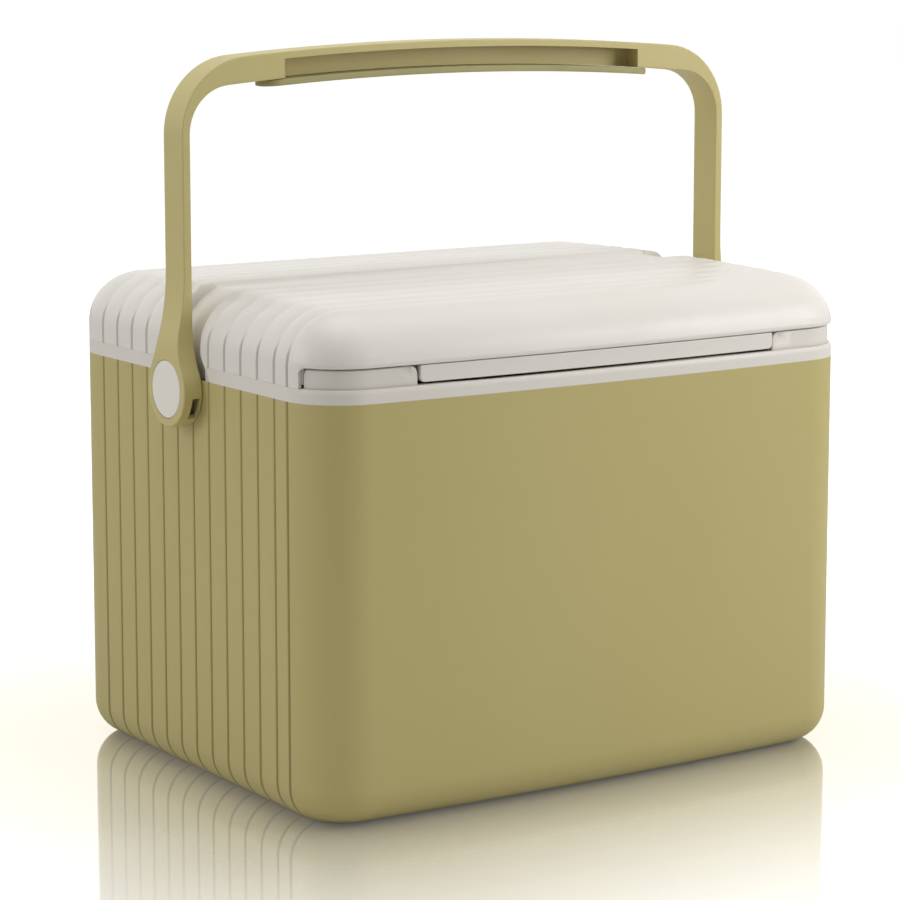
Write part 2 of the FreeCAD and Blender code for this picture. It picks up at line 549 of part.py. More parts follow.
def bail_side_form():
    """The bail seen from the side: round boss, flare and parallel arm."""
    half = ARM_WIDTH / 2
    flare_y = half + BOSS_FLARE_RADIUS
    flare_z = math.sqrt((BOSS_RADIUS + BOSS_FLARE_RADIUS) ** 2 - flare_y ** 2)
    reach = BOSS_RADIUS / (BOSS_RADIUS + BOSS_FLARE_RADIUS)
    touch = (flare_y * reach, flare_z * reach)
    turn = math.atan2(flare_z, flare_y) / 2

    def point(y, z):
        return V(-FAR, y, PIVOT_HEIGHT + z)

    def flare(side):
        middle_y = flare_y - BOSS_FLARE_RADIUS * math.cos(turn)
        middle_z = flare_z - BOSS_FLARE_RADIUS * math.sin(turn)
        return point(side * middle_y, middle_z)

    top = PIVOT_TO_TOP + 1
    edges = [
        line(point(-half, top), point(half, top)),
        line(point(half, top), point(half, flare_z)),
        arc(point(half, flare_z), flare(1), point(*touch)),
        arc(point(*touch), point(0, -BOSS_RADIUS), point(-touch[0], touch[1])),
        arc(point(-touch[0], touch[1]), flare(-1), point(-half, flare_z)),
        line(point(-half, flare_z), point(-half, top)),
    ]
    return Part.Face(Part.Wire(edges)).extrude(V(2 * FAR, 0, 0))


def grip_band(top_offset, bottom_offset, length, y0, y1):
    """A slice of the grip between two depths below its crowned top."""
    half = length / 2

    def crowned(offset):
        radius = GRIP_RADIUS - offset
        end_z = GRIP_CENTRE_Z + math.sqrt(radius ** 2 - half ** 2)
        return V(-half, 0, end_z), V(0, 0, GRIP_CENTRE_Z + radius), V(half, 0, end_z)

    upper = crowned(top_offset)
    lower = crowned(bottom_offset)
    wire = Part.Wire([arc(*upper), line(upper[2], lower[2]), arc(lower[2], lower[1], lower[0]),
                      line(lower[0], upper[0])])
    return Part.Face(wire).extrude(V(0, y1 - y0, 0)).translated(V(0, y0, 0))


def handle_bail():
    bail = bail_front_form().common(bail_side_form())
    half = ARM_WIDTH / 2
    recess_back = GRIP_RECESS_DEPTH - half
    recess = grip_band(GRIP_FLANGE, GRIP_HEIGHT + 1, GRIP_RECESS_LENGTH, -half - 1, recess_back)
    bail = bail.cut(recess)
    for _, side in SIDES:
        hollow = rod(side, BOSS_RADIUS - BOSS_RIM, ARM_INNER_X - 1, ARM_INNER_X + BOSS_HOLLOW_DEPTH)
        sleeve_end = ARM_INNER_X + BOSS_HOLLOW_DEPTH + 1
        sleeve = rod(side, JOURNAL_RADIUS + BOSS_SLEEVE, ARM_INNER_X - 2, sleeve_end)
        bail = bail.cut(hollow.cut(sleeve))
        bail = bail.cut(rod(side, JOURNAL_RADIUS + JOURNAL_CLEARANCE, ARM_INNER_X - 1, BOSS_OUTER_X + 1))
        cap_recess = CAP_RADIUS + CAP_RECESS_CLEARANCE
        bail = bail.cut(rod(side, cap_recess, ARM_INNER_X + BOSS_WEB, BOSS_OUTER_X + 1))
        bail = bail.cut(boss_window(side))
    return bail


def boss_window(side):
    """A curved slot through the front of the boss's rim."""
    inner = BOSS_RADIUS - BOSS_RIM - 1
    x0 = ARM_INNER_X + WINDOW_INSET
    start, end = WINDOW_ARC
    ring = Part.makeCylinder(BOSS_RADIUS + 1, WINDOW_WIDTH, V(0, 0, 0), V(1, 0, 0))
    ring = ring.cut(Part.makeCylinder(inner, WINDOW_WIDTH + 2, V(-1, 0, 0), V(1, 0, 0)))
    rays = [V(0, -FAR * math.cos(math.radians(a)), -FAR * math.sin(math.radians(a))) for a in (start, end)]
    wedge = Part.makePolygon([V(0, 0, 0)] + rays + [V(0, 0, 0)])
    ring = ring.common(Part.Face(wedge).extrude(V(WINDOW_WIDTH, 0, 0)))
    ring.translate(V(x0, 0, PIVOT_HEIGHT))
    return ring if side > 0 else ring.mirror(V(0, 0, 0), V(1, 0, 0))


def handle_grip_pad():
    half = ARM_WIDTH / 2
    upper = GRIP_HEIGHT + FIT
    pad = grip_band(upper, upper + GRIP_PAD_THICKNESS, GRIP_PAD_LENGTH, -half, half)
    ends = [e for e in pad.Edges if e.BoundBox.YLength < 1e-3 and e.BoundBox.XLength < 1e-3]
    return pad.makeFillet(GRIP_PAD_ROUNDING, ends)


# ---- Handle pivots ------------------------------------------------------------------------------------

def pivot_hub(side):
    hub = rod(side, JOURNAL_RADIUS, HALF_WIDTH, WASHER_X)
    hub = hub.fuse(rod(side, SPIGOT_RADIUS, HALF_WIDTH - SHELL_WALL, HALF_WIDTH))
    return hub.cut(rod(side, PIVOT_SCREW_RADIUS + SEAT, CORNER_X, WASHER_X + 1))


def pivot_plate(side):
    half = BACKING_PLATE_WIDTH / 2
    low = PIVOT_HEIGHT - BACKING_PLATE_DROP
    plate = box(PLATE_X, HALF_WIDTH - SHELL_WALL, -half, half, low, SHELL_HEIGHT - FIT)
    plate = plate if side > 0 else plate.mirror(V(0, 0, 0), V(1, 0, 0))
    return plate.cut(rod(side, PIVOT_SCREW_RADIUS + SEAT, CORNER_X, HALF_WIDTH))


def pivot_washer(side):
    washer = rod(side, WASHER_RADIUS, WASHER_X, WASHER_X + WASHER_THICKNESS)
    return washer.cut(rod(side, PIVOT_SCREW_RADIUS + SEAT, WASHER_X - 1, WASHER_X + WASHER_THICKNESS + 1))


def pivot_screw(side):
    head_x = WASHER_X + WASHER_THICKNESS
    screw = rod(side, PIVOT_SCREW_HEAD_RADIUS, head_x, head_x + PIVOT_SCREW_HEAD)
    return screw.fuse(rod(side, PIVOT_SCREW_RADIUS, SCREW_TIP_X, head_x))


def pivot_cap(side):
    outer_x = BOSS_OUTER_X + CAP_PROUD
    plate_x = outer_x - CAP_PLATE
    skirt_x = ARM_INNER_X + BOSS_WEB
    cap = rod(side, CAP_RADIUS, skirt_x, outer_x)
    flat = [e for e in cap.Edges if e.BoundBox.XLength < 1e-3]
    rim = [e for e in flat if abs(abs(e.BoundBox.Center.x) - outer_x) < 1e-3]
    cap = cap.makeFillet(CAP_PROUD, rim)
    return cap.cut(rod(side, CAP_RADIUS - CAP_SKIRT, skirt_x - 1, plate_x))


def main():
    os.makedirs("parts", exist_ok=True)
    nodes = {
        "outer_shell": outer_shell(),
        "inner_liner": inner_liner(),
        "body_insulation": body_insulation(),
        "rim_collar": rim_collar(),
        "lid_cover": lid_cover(),
        "lid_insulation": lid_insulation(),
        "lid_inner_panel": lid_inner_panel(),
        "lid_gasket": lid_gasket(),
        "handle_bail": handle_bail(),
        "handle_grip_pad": handle_grip_pad(),
    }
    for name, side in SIDES:
        nodes["hinge_pin_" + name] = hinge_pin(side)
        nodes["pivot_hub_" + name] = pivot_hub(side)
        nodes["pivot_plate_" + name] = pivot_plate(side)
        nodes["pivot_washer_" + name] = pivot_washer(side)
        nodes["pivot_screw_" + name] = pivot_screw(side)
        nodes["pivot_cap_" + name] = pivot_cap(side)
    for name, shape in nodes.items():
        shape.exportStep("parts/" + name + ".step")
        print(name, "solids", len(shape.Solids), "valid", shape.isValid(), "volume", round(shape.Volume))


main()
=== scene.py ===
"""A portable hard cool box: ribbed olive body, off-white hinged lid and a swinging bail handle.

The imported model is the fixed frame. Every visible moulding is remodelled here over its CAD solid, with
its roundings, ribs and surface finish. X runs across the front, Y from front to back, and Z up.
Forms are worked in millimetres and become metres when they are finished.
"""
import logging
import math
from dataclasses import dataclass, field
from enum import Enum
from typing import Callable, Iterable, Optional, Sequence

import bmesh
import bpy
from mathutils import Matrix, Vector


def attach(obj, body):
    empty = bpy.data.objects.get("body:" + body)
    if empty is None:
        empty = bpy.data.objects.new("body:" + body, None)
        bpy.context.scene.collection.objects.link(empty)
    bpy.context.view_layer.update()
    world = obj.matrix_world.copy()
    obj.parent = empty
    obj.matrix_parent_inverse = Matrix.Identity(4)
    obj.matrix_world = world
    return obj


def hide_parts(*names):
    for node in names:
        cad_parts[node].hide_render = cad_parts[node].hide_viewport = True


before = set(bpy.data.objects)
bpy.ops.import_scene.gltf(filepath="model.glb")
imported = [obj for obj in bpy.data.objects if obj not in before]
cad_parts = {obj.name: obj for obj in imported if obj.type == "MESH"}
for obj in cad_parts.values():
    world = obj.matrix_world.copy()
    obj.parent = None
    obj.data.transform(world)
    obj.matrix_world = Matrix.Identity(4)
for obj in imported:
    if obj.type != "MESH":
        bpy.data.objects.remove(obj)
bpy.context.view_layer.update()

LOG = logging.getLogger("cool_box")
MM = 0.001
FAR = 400.0                 # longer than the object, for cutting tools
Point = Sequence[float]
EdgePick = Callable[[bmesh.types.BMEdge], bool]
FacePick = Callable[[bmesh.types.BMFace], bool]


class Body(Enum):
    """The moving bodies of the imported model."""

    ROOT = "root"
    LID = "lid"
    HANDLE = "handle"


class Cut(Enum):
    """How one form is combined with another."""

    JOIN = "UNION"
    REMOVE = "DIFFERENCE"
    KEEP = "INTERSECT"


class Side(Enum):
    """The two sides of the box, as signs along X."""

    LEFT = -1
    RIGHT = 1


def smooth(low: float, high: float, value: float) -> float:
    """An S-shaped rise from 0 at low to 1 at high.

    Args:
        low: Where the rise starts.
        high: Where the rise ends.
        value: Where it is asked for.

    Returns:
        A number from 0 to 1.
    """
    share = min(1.0, max(0.0, (value - low) / (high - low)))
    return share * share * (3 - 2 * share)


def mix(first: float, second: float, share: float) -> float:
    """A value between two, first at share 0 and second at share 1."""
    return first + (second - first) * share


class Form:
    """A mesh being modelled, in millimetres."""

    def __init__(self) -> None:
        """Starts an empty form."""
        self.bm = bmesh.new()

    @classmethod
    def block(cls, low: Point, high: Point) -> "Form":
        """A box between two corners."""
        form = cls()
        made = bmesh.ops.create_cube(form.bm, size=1.0)
        middle = [(a + b) / 2 for a, b in zip(low, high)]
        bmesh.ops.scale(form.bm, vec=[b - a for a, b in zip(low, high)], verts=made["verts"])
        bmesh.ops.translate(form.bm, vec=middle, verts=made["verts"])
        return form

    @classmethod
    def rod(cls, radius: float, start: Point, end_x: float, segments: int = 96) -> "Form":
        """A cylinder along X.

        Args:
            radius: Of the cylinder.
            start: The middle of one end.
            end_x: X of the other end.
            segments: Round the cylinder.

        Returns:
            The cylinder as a closed form.
        """
        form = cls()
        length = end_x - start[0]
        made = bmesh.ops.create_cone(form.bm, cap_ends=True, segments=segments, radius1=radius,
                                     radius2=radius, depth=abs(length))
        bmesh.ops.rotate(form.bm, cent=(0, 0, 0), matrix=Matrix.Rotation(math.pi / 2, 3, "Y"),
                         verts=made["verts"])
        bmesh.ops.translate(form.bm, vec=(start[0] + length / 2, start[1], start[2]), verts=made["verts"])
        return form

    def extrude(self, vec: Point) -> "Form":
        """Turns the flat outline that the form holds into a closed solid, drawn out along vec."""
        made = bmesh.ops.extrude_face_region(self.bm, geom=self.bm.faces[:], use_keep_orig=True)
        moved = [v for v in made["geom"] if isinstance(v, bmesh.types.BMVert)]
        bmesh.ops.translate(self.bm, vec=vec, verts=moved)
        return self.tidy()

    def tidy(self, distance: float = 0.001) -> "Form":
        """Merges doubled vertices and turns the faces outwards."""
        bmesh.ops.remove_doubles(self.bm, verts=self.bm.verts[:], dist=distance)
        bmesh.ops.recalc_face_normals(self.bm, faces=self.bm.faces[:])
        self.bm.normal_update()
        return self

    def slice(self, point: Point, normal: Point, pick: Optional[FacePick] = None) -> "Form":
        """Adds a loop of edges where a plane crosses the picked faces, or all of them."""
        faces = [f for f in self.bm.faces if pick is None or pick(f)]
        geom = {e for f in faces for e in (*f.verts, *f.edges)}
        bmesh.ops.bisect_plane(self.bm, geom=[*geom, *faces], dist=1e-5, plane_co=point, plane_no=normal)
        return self

    def keep_side(self, point: Point, normal: Point) -> "Form":
        """Cuts the form by a plane, keeps what lies against the normal, and closes the cut."""
        geom = [*self.bm.verts, *self.bm.edges, *self.bm.faces]
        bmesh.ops.bisect_plane(self.bm, geom=geom, dist=1e-5, plane_co=point, plane_no=normal,
                               clear_outer=True)
        bmesh.ops.holes_fill(self.bm, edges=[e for e in self.bm.edges if e.is_boundary], sides=0)
        return self.tidy()

    def bevel(self, pick: EdgePick, offset: float, segments: int, clamp: bool = False) -> "Form":
        """Rounds the picked edges."""
        edges = [e for e in self.bm.edges if pick(e)]
        bmesh.ops.bevel(self.bm, geom=edges, offset=offset, offset_type="OFFSET", segments=segments,
                        profile=0.5, affect="EDGES", clamp_overlap=clamp, material=-1)
        bmesh.ops.recalc_face_normals(self.bm, faces=self.bm.faces[:])
        self.bm.normal_update()
        return self

    def delete_faces(self, pick: FacePick) -> "Form":
        """Takes away the picked faces."""
        bmesh.ops.delete(self.bm, geom=[f for f in self.bm.faces if pick(f)], context="FACES")
        return self

    def reshape(self, move: Callable[[Vector, Vector], Vector]) -> "Form":
        """Moves every vertex to where a function of its place and normal puts it."""
        self.bm.normal_update()
        places = [(v, move(v.co.copy(), v.normal.copy())) for v in self.bm.verts]
        for vertex, place in places:
            vertex.co = place
        self.bm.normal_update()
        return self

    def mirrored(self) -> "Form":
        """Adds the form's mirror image across the middle plane."""
        copies = bmesh.ops.duplicate(self.bm, geom=[*self.bm.verts, *self.bm.edges, *self.bm.faces])
        verts = [v for v in copies["geom"] if isinstance(v, bmesh.types.BMVert)]
        bmesh.ops.scale(self.bm, vec=(-1, 1, 1), verts=verts)
        return self.tidy()

    def combine(self, tool: "Form", how: Cut) -> "Form":
        """Joins this form with another, cuts the other away, or keeps what both fill."""
        objects = [as_object(form, "working") for form in (self, tool)]
        modifier = objects[0].modifiers.new("cut", "BOOLEAN")
        modifier.object = objects[1]
        modifier.operation = how.value
        modifier.solver = "EXACT"
        bpy.context.view_layer.update()
        graph = bpy.context.evaluated_depsgraph_get()
        mesh = bpy.data.meshes.new_from_object(objects[0].evaluated_get(graph))
        self.bm.clear()
        self.bm.from_mesh(mesh)
        for item in objects:
            data = item.data
            bpy.data.objects.remove(item)
            bpy.data.meshes.remove(data)
        bpy.data.meshes.remove(mesh)
        return self.tidy(0.01)


def as_object(form: Form, name: str) -> bpy.types.Object:
    """Makes a scene object of a form, still in millimetres."""
    mesh = bpy.data.meshes.new(name)
    form.bm.to_mesh(mesh)
    made = bpy.data.objects.new(name, mesh)
    bpy.context.scene.collection.objects.link(made)
    return made


class Pen:
    """Draws a closed outline, one straight run or one arc at a time."""

    def __init__(self, start: Point) -> None:
        """Sets the pen down."""
        self.form = Form()
        self.tip = self.form.bm.verts.new(start)

    def line(self, to: Point) -> "Pen":
        """A straight run to a point."""
        made = bmesh.ops.extrude_vert_indiv(self.form.bm, verts=[self.tip])
        self.tip = made["verts"][0]
        self.tip.co = Vector(to)
        return self

    def arc(self, centre: Point, axis: Point, degrees: float, steps: int) -> "Pen":
        """An arc about a centre, by the right-hand rule about the axis."""
        made = bmesh.ops.spin(self.form.bm, geom=[self.tip], cent=centre, axis=axis, dvec=(0, 0, 0),
                              angle=math.radians(degrees), steps=steps)
        self.tip = next(v for v in made["geom_last"] if isinstance(v, bmesh.types.BMVert))
        return self

    def close(self) -> Form:
        """Joins the ends and fills the outline with one face."""
        bm = self.form.bm
        bmesh.ops.remove_doubles(bm, verts=bm.verts[:], dist=0.01)
        bmesh.ops.contextual_create(bm, geom=bm.edges[:])
        bmesh.ops.recalc_face_normals(bm, faces=bm.faces[:])
        return self.form


@dataclass(frozen=True)
class Plan:
    """The outline that shell, collar and lid share: straight sides, flat back, bowed front."""

    half_width: float = 170.0
    back: float = 132.0
    bow: float = 6.0
    corner: float = 32.0
    corner_steps: int = 14
    front_steps: int = 24

    def sheet(self, inset: float, z: float) -> Form:
        """The outline as one face.

        Args:
            inset: How far it is drawn in all round.
            z: The level it lies at.

        Returns:
            A form that holds the face.
        """
        bow_radius = (self.half_width ** 2 + self.bow ** 2) / (2 * self.bow)
        bow_y = bow_radius - self.back - self.bow
        corner_x = self.half_width - self.corner
        front_y = bow_y - math.sqrt((bow_radius - self.corner) ** 2 - corner_x ** 2)
        back_y = self.back - self.corner
        turn = math.degrees(math.asin(corner_x / (bow_radius - self.corner)))
        up = (0, 0, 1)
        pen = Pen((self.half_width - inset, front_y, z))
        pen.line((self.half_width - inset, back_y, z))
        pen.arc((corner_x, back_y, z), up, 90, self.corner_steps)
        pen.line((-corner_x, self.back - inset, z))
        pen.arc((-corner_x, back_y, z), up, 90, self.corner_steps)
        pen.line((inset - self.half_width, front_y, z))
        pen.arc((-corner_x, front_y, z), up, 90 - turn, self.corner_steps)
        pen.arc((0, bow_y, z), up, 2 * turn, self.front_steps)
        pen.arc((corner_x, front_y, z), up, 90 - turn, self.corner_steps)
        return pen.close()

    def prism(self, inset: float, low: float, high: float) -> Form:
        """The outline drawn up from one level to another."""
        return self.sheet(inset, low).extrude((0, 0, high - low))


def rounded_block(half_x: float, half_y: float, radius: float, low: float, high: float) -> Form:
    """A box about the middle with rounded upright corners."""
    form = Form.block((-half_x, -half_y, low), (half_x, half_y, high))
    upright = high - low
    return form.bevel(lambda e: abs(abs(e.verts[0].co.z - e.verts[1].co.z) - upright) < 1e-4, radius, 10)


@dataclass(frozen=True)
class Grooves:
    """The upright grooves between the ribs of both sides."""

    outermost: float = 103.7
    first: float = 91.3
    count: int = 12
    depth: float = 1.1

    def places(self, skip: float) -> list[float]:
        """Y of each groove further from the middle than skip."""
        pitch = 2 * self.first / (self.count - 1)
        regular = [self.first - i * pitch for i in range(self.count)]
        return [y for y in (*regular, -self.outermost) if abs(y) > skip]

    def score(self, form: Form, skip: float, offsets: Iterable[float], pick: Optional[FacePick] = None) -> None:
        """Adds the loops of edges that each groove's section needs."""
        for y in self.places(skip):
            for offset in offsets:
                for sign in ((1,) if offset == 0 else (-1, 1)):
                    form.slice((0, y + sign * offset, 0), (0, 1, 0), pick)

    def distance(self, y: float, skip: float) -> float:
        """How far a place is from the middle of the nearest groove."""
        return min(abs(y - place) for place in self.places(skip))


@dataclass(frozen=True)
class Channel:
    """The upright channel in each side of lid and collar, where the handle's arms stand."""

    floor_x: float = 166.4
    half: float = 15.6
    flare_top: float = 227.2
    flare: float = 0.74          # sideways for each millimetre down
    radius: float = 40.0
    centre_x: float = 126.4
    centre_z: float = 220.6
    lip: tuple[float, ...] = (14.3, 14.7, 15.1, 15.6, 16.1, 16.6, 17.2)

    def score(self, form: Form) -> None:
        """Adds the loops of edges that the channel's lips and flare need."""
        for y in (0.0, 5.0, 10.0, *self.lip, 22.0):
            for sign in (-1, 1):
                form.slice((0, sign * y, 0), (0, 1, 0), lambda f: abs(f.calc_center_median().x) > 100)
        for z in (224.0, 225.6, 226.6, 227.2, 227.8, 229.0):
            form.slice((0, 0, z), (0, 0, 1), lambda f: abs(f.calc_center_median().y) < 22.1)

    def press(self, place: Vector) -> Vector:
        """Where a place on the outside goes when the channel is pressed in."""
        y, far = abs(place.y), abs(place.x)
        if y > 21.9 or far < self.centre_x:
            return place
        depth = 1 - smooth(self.lip[0], self.lip[-1], y)
        reach = Vector((far - self.centre_x, place.z - self.centre_z))
        target = Vector((far, place.z))
        if place.z <= self.centre_z:
            target.x = min(far, self.floor_x)
        elif reach.length > self.radius:
            radial = self.centre_z + reach.y * self.radius / reach.length
            target.y = mix(place.z, radial, smooth(222.0, 238.0, place.z))
            rise = min(self.radius, target.y - self.centre_z)
            target.x = self.centre_x + math.sqrt(self.radius ** 2 - rise ** 2)
        spread = self.flare * max(0.0, self.flare_top - place.z)
        share = min(1.0, y / self.half) if y <= self.lip[-1] else (22.0 - y) / (22.0 - self.lip[-1])
        x = mix(far, target.x, depth)
        z = mix(place.z, target.y, depth)
        return Vector((math.copysign(x, place.x), math.copysign(y + spread * share, place.y), z))


class Finish:
    """A material built from nodes on Object coordinates."""

    def __init__(self, name: str) -> None:
        """Starts a material with a Principled shader and object coordinates."""
        self.material = bpy.data.materials.new(name)
        self.material.use_nodes = True
        self.tree = self.material.node_tree
        self.shader = self.tree.nodes["Principled BSDF"]
        self.place = self.tree.nodes.new("ShaderNodeTexCoord").outputs["Object"]

    def node(self, kind: str, **settings: object) -> bpy.types.Node:
        """Adds a node and sets its properties.

        Args:
            kind: The node's type after ShaderNode.
            **settings: Properties by name.

        Returns:
            The node.
        """
        made = self.tree.nodes.new("ShaderNode" + kind)
        for name, value in settings.items():
            setattr(made, name, value)
        return made

    def link(self, source: bpy.types.NodeSocket, target: bpy.types.NodeSocket) -> None:
        """Joins an output to an input."""
        self.tree.links.new(source, target)

    def noise(self, scale: float, detail: float = 2.0, stretch: Point = (1, 1, 1)) -> bpy.types.NodeSocket:
        """Noise of so many features to a metre, stretched along the axes; returns its value socket."""
        mapping = self.node("Mapping")
        mapping.inputs["Scale"].default_value = stretch
        self.link(self.place, mapping.inputs["Vector"])
        made = self.node("TexNoise")
        made.inputs["Scale"].default_value = scale
        made.inputs["Detail"].default_value = detail
        self.link(mapping.outputs["Vector"], made.inputs["Vector"])
        return made.outputs["Fac"]

    def ranged(self, source: bpy.types.NodeSocket, low: float, high: float,
               start: float = 0.3, end: float = 0.7) -> bpy.types.NodeSocket:
        """Maps a noise's usual range onto another range; returns the result's socket."""
        made = self.node("MapRange")
        for name, value in (("From Min", start), ("From Max", end), ("To Min", low), ("To Max", high)):
            made.inputs[name].default_value = value
        self.link(source, made.inputs["Value"])
        return made.outputs["Result"]

    def blend(self, share: bpy.types.NodeSocket, first: Point, second: Point) -> bpy.types.NodeSocket:
        """A colour between two by a share; returns the colour's socket."""
        made = self.node("Mix", data_type="RGBA")
        for target, colour in ((made.inputs[6], first), (made.inputs[7], second)):
            target.default_value = (*colour, 1.0)
        self.link(share, made.inputs["Factor"])
        return made.outputs[2]

    def paint_crease_shade(self, colour: bpy.types.NodeSocket, distance: float, shade_tint: Point) -> bpy.types.NodeSocket:
        """Paints shade into a colour where the surface is closed in, with a little of the dust that gathers there:
        painted crease shade from ambient occlusion.
        """
        shade = self.node("AmbientOcclusion", samples=6, only_local=True)
        shade.inputs["Distance"].default_value = distance
        made = self.node("Mix", data_type="RGBA", blend_type="MULTIPLY")
        made.inputs[7].default_value = (*shade_tint, 1.0)
        inverse = self.ranged(shade.outputs["AO"], 1.0, 0.0, 0.35, 0.95)
        self.link(inverse, made.inputs["Factor"])
        self.link(colour, made.inputs[6])
        return made.outputs[2]

    def bump(self, height: bpy.types.NodeSocket, distance: float, strength: float,
             below: Optional[bpy.types.NodeSocket] = None) -> bpy.types.NodeSocket:
        """A bump of a height in metres over another; returns the normal's socket."""
        made = self.node("Bump")
        made.inputs["Distance"].default_value = distance
        made.inputs["Strength"].default_value = strength
        self.link(height, made.inputs["Height"])
        if below is not None:
            self.link(below, made.inputs["Normal"])
        return made.outputs["Normal"]


@dataclass(frozen=True)
class MouldedPlastic:
    """Injection-moulded plastic with a fine spark-eroded grain, faint flow marks and painted shade in its creases.
    """

    name: str
    colour: tuple[float, float, float]
    flow: tuple[float, float, float]
    roughness: tuple[float, float] = (0.40, 0.50)
    grain: float = 1300.0
    grain_depth: float = 0.00006
    # tint and reach of the painted shade in creases, grooves and hollows
    crease_shade_tint: tuple[float, float, float] = (0.62, 0.58, 0.48)
    specular: float = 0.32
    crease_shade_reach: float = 0.0028

    def build(self) -> bpy.types.Material:
        """Makes the material."""
        finish = Finish(self.name)
        shader = finish.shader
        flow = finish.ranged(finish.noise(7.0, 3.0, (1, 1, 0.45)), 0.0, 1.0)
        # painted shade darkens the colour where the surface is closed in
        colour = finish.paint_crease_shade(finish.blend(flow, self.colour, self.flow), self.crease_shade_reach, self.crease_shade_tint)
        finish.link(colour, shader.inputs["Base Color"])
        wear = finish.ranged(finish.noise(38.0, 5.0), *self.roughness)
        finish.link(wear, shader.inputs["Roughness"])
        shader.inputs["Specular IOR Level"].default_value = self.specular
        shader.inputs["IOR"].default_value = 1.49
        sink = finish.bump(finish.noise(16.0, 1.0), 0.0004, 0.25)
        grain = finish.bump(finish.noise(self.grain, 3.0), self.grain_depth, 0.55, sink)
        finish.link(grain, shader.inputs["Normal"])
        return finish.material


@dataclass(frozen=True)
class FoamCore:
    """Rigid insulating foam with small closed cells."""

    name: str
    colour: tuple[float, float, float]
    cell: float = 900.0

    def build(self) -> bpy.types.Material:
        """Makes the material."""
        finish = Finish(self.name)
        cells = finish.node("TexVoronoi", feature="DISTANCE_TO_EDGE")
        cells.inputs["Scale"].default_value = self.cell
        finish.link(finish.place, cells.inputs["Vector"])
        walls = finish.ranged(cells.outputs["Distance"], 0.0, 1.0, 0.0, 0.25)
        shade = tuple(c * 0.8 for c in self.colour)
        finish.link(finish.blend(walls, self.colour, shade), finish.shader.inputs["Base Color"])
        finish.link(finish.ranged(finish.noise(60.0), 0.75, 0.95), finish.shader.inputs["Roughness"])
        finish.link(finish.bump(walls, 0.0003, 0.6), finish.shader.inputs["Normal"])
        return finish.material


@dataclass(frozen=True)
class SoftRubber:
    """Soft moulded rubber, dull, with a fine matt grain and painted shade in its creases."""

    name: str
    colour: tuple[float, float, float]
    grain: float = 1900.0

    def build(self) -> bpy.types.Material:
        """Makes the material."""
        finish = Finish(self.name)
        patches = finish.ranged(finish.noise(24.0, 4.0), 0.0, 1.0)
        lighter = tuple(min(1.0, c * 1.12) for c in self.colour)
        # painted shade darkens the rubber where its surface is closed in
        colour = finish.paint_crease_shade(finish.blend(patches, self.colour, lighter), 0.003, (0.55, 0.52, 0.45))
        finish.link(colour, finish.shader.inputs["Base Color"])
        finish.link(finish.ranged(finish.noise(90.0, 3.0), 0.58, 0.75), finish.shader.inputs["Roughness"])
        finish.link(finish.bump(finish.noise(self.grain), 0.00008, 0.7), finish.shader.inputs["Normal"])
        finish.shader.inputs["Specular IOR Level"].default_value = 0.35
        return finish.material


@dataclass(frozen=True)
class TurnedSteel:
    """Bright steel with fine turning marks round the X axis."""

    name: str
    colour: tuple[float, float, float] = (0.56, 0.56, 0.57)

    def build(self) -> bpy.types.Material:
        """Makes the material."""
        finish = Finish(self.name)
        marks = finish.noise(500.0, 3.0, (8, 0.6, 0.6))
        darker = tuple(c * 0.78 for c in self.colour)
        stains = finish.ranged(finish.noise(120.0, 4.0), 0.0, 1.0)
        finish.link(finish.blend(stains, self.colour, darker), finish.shader.inputs["Base Color"])
        finish.shader.inputs["Metallic"].default_value = 1.0
        finish.link(finish.ranged(marks, 0.22, 0.42), finish.shader.inputs["Roughness"])
        finish.link(finish.bump(marks, 0.00005, 0.5), finish.shader.inputs["Normal"])
        return finish.material


OLIVE = (0.470, 0.402, 0.166)
OFF_WHITE = (0.745, 0.715, 0.675)
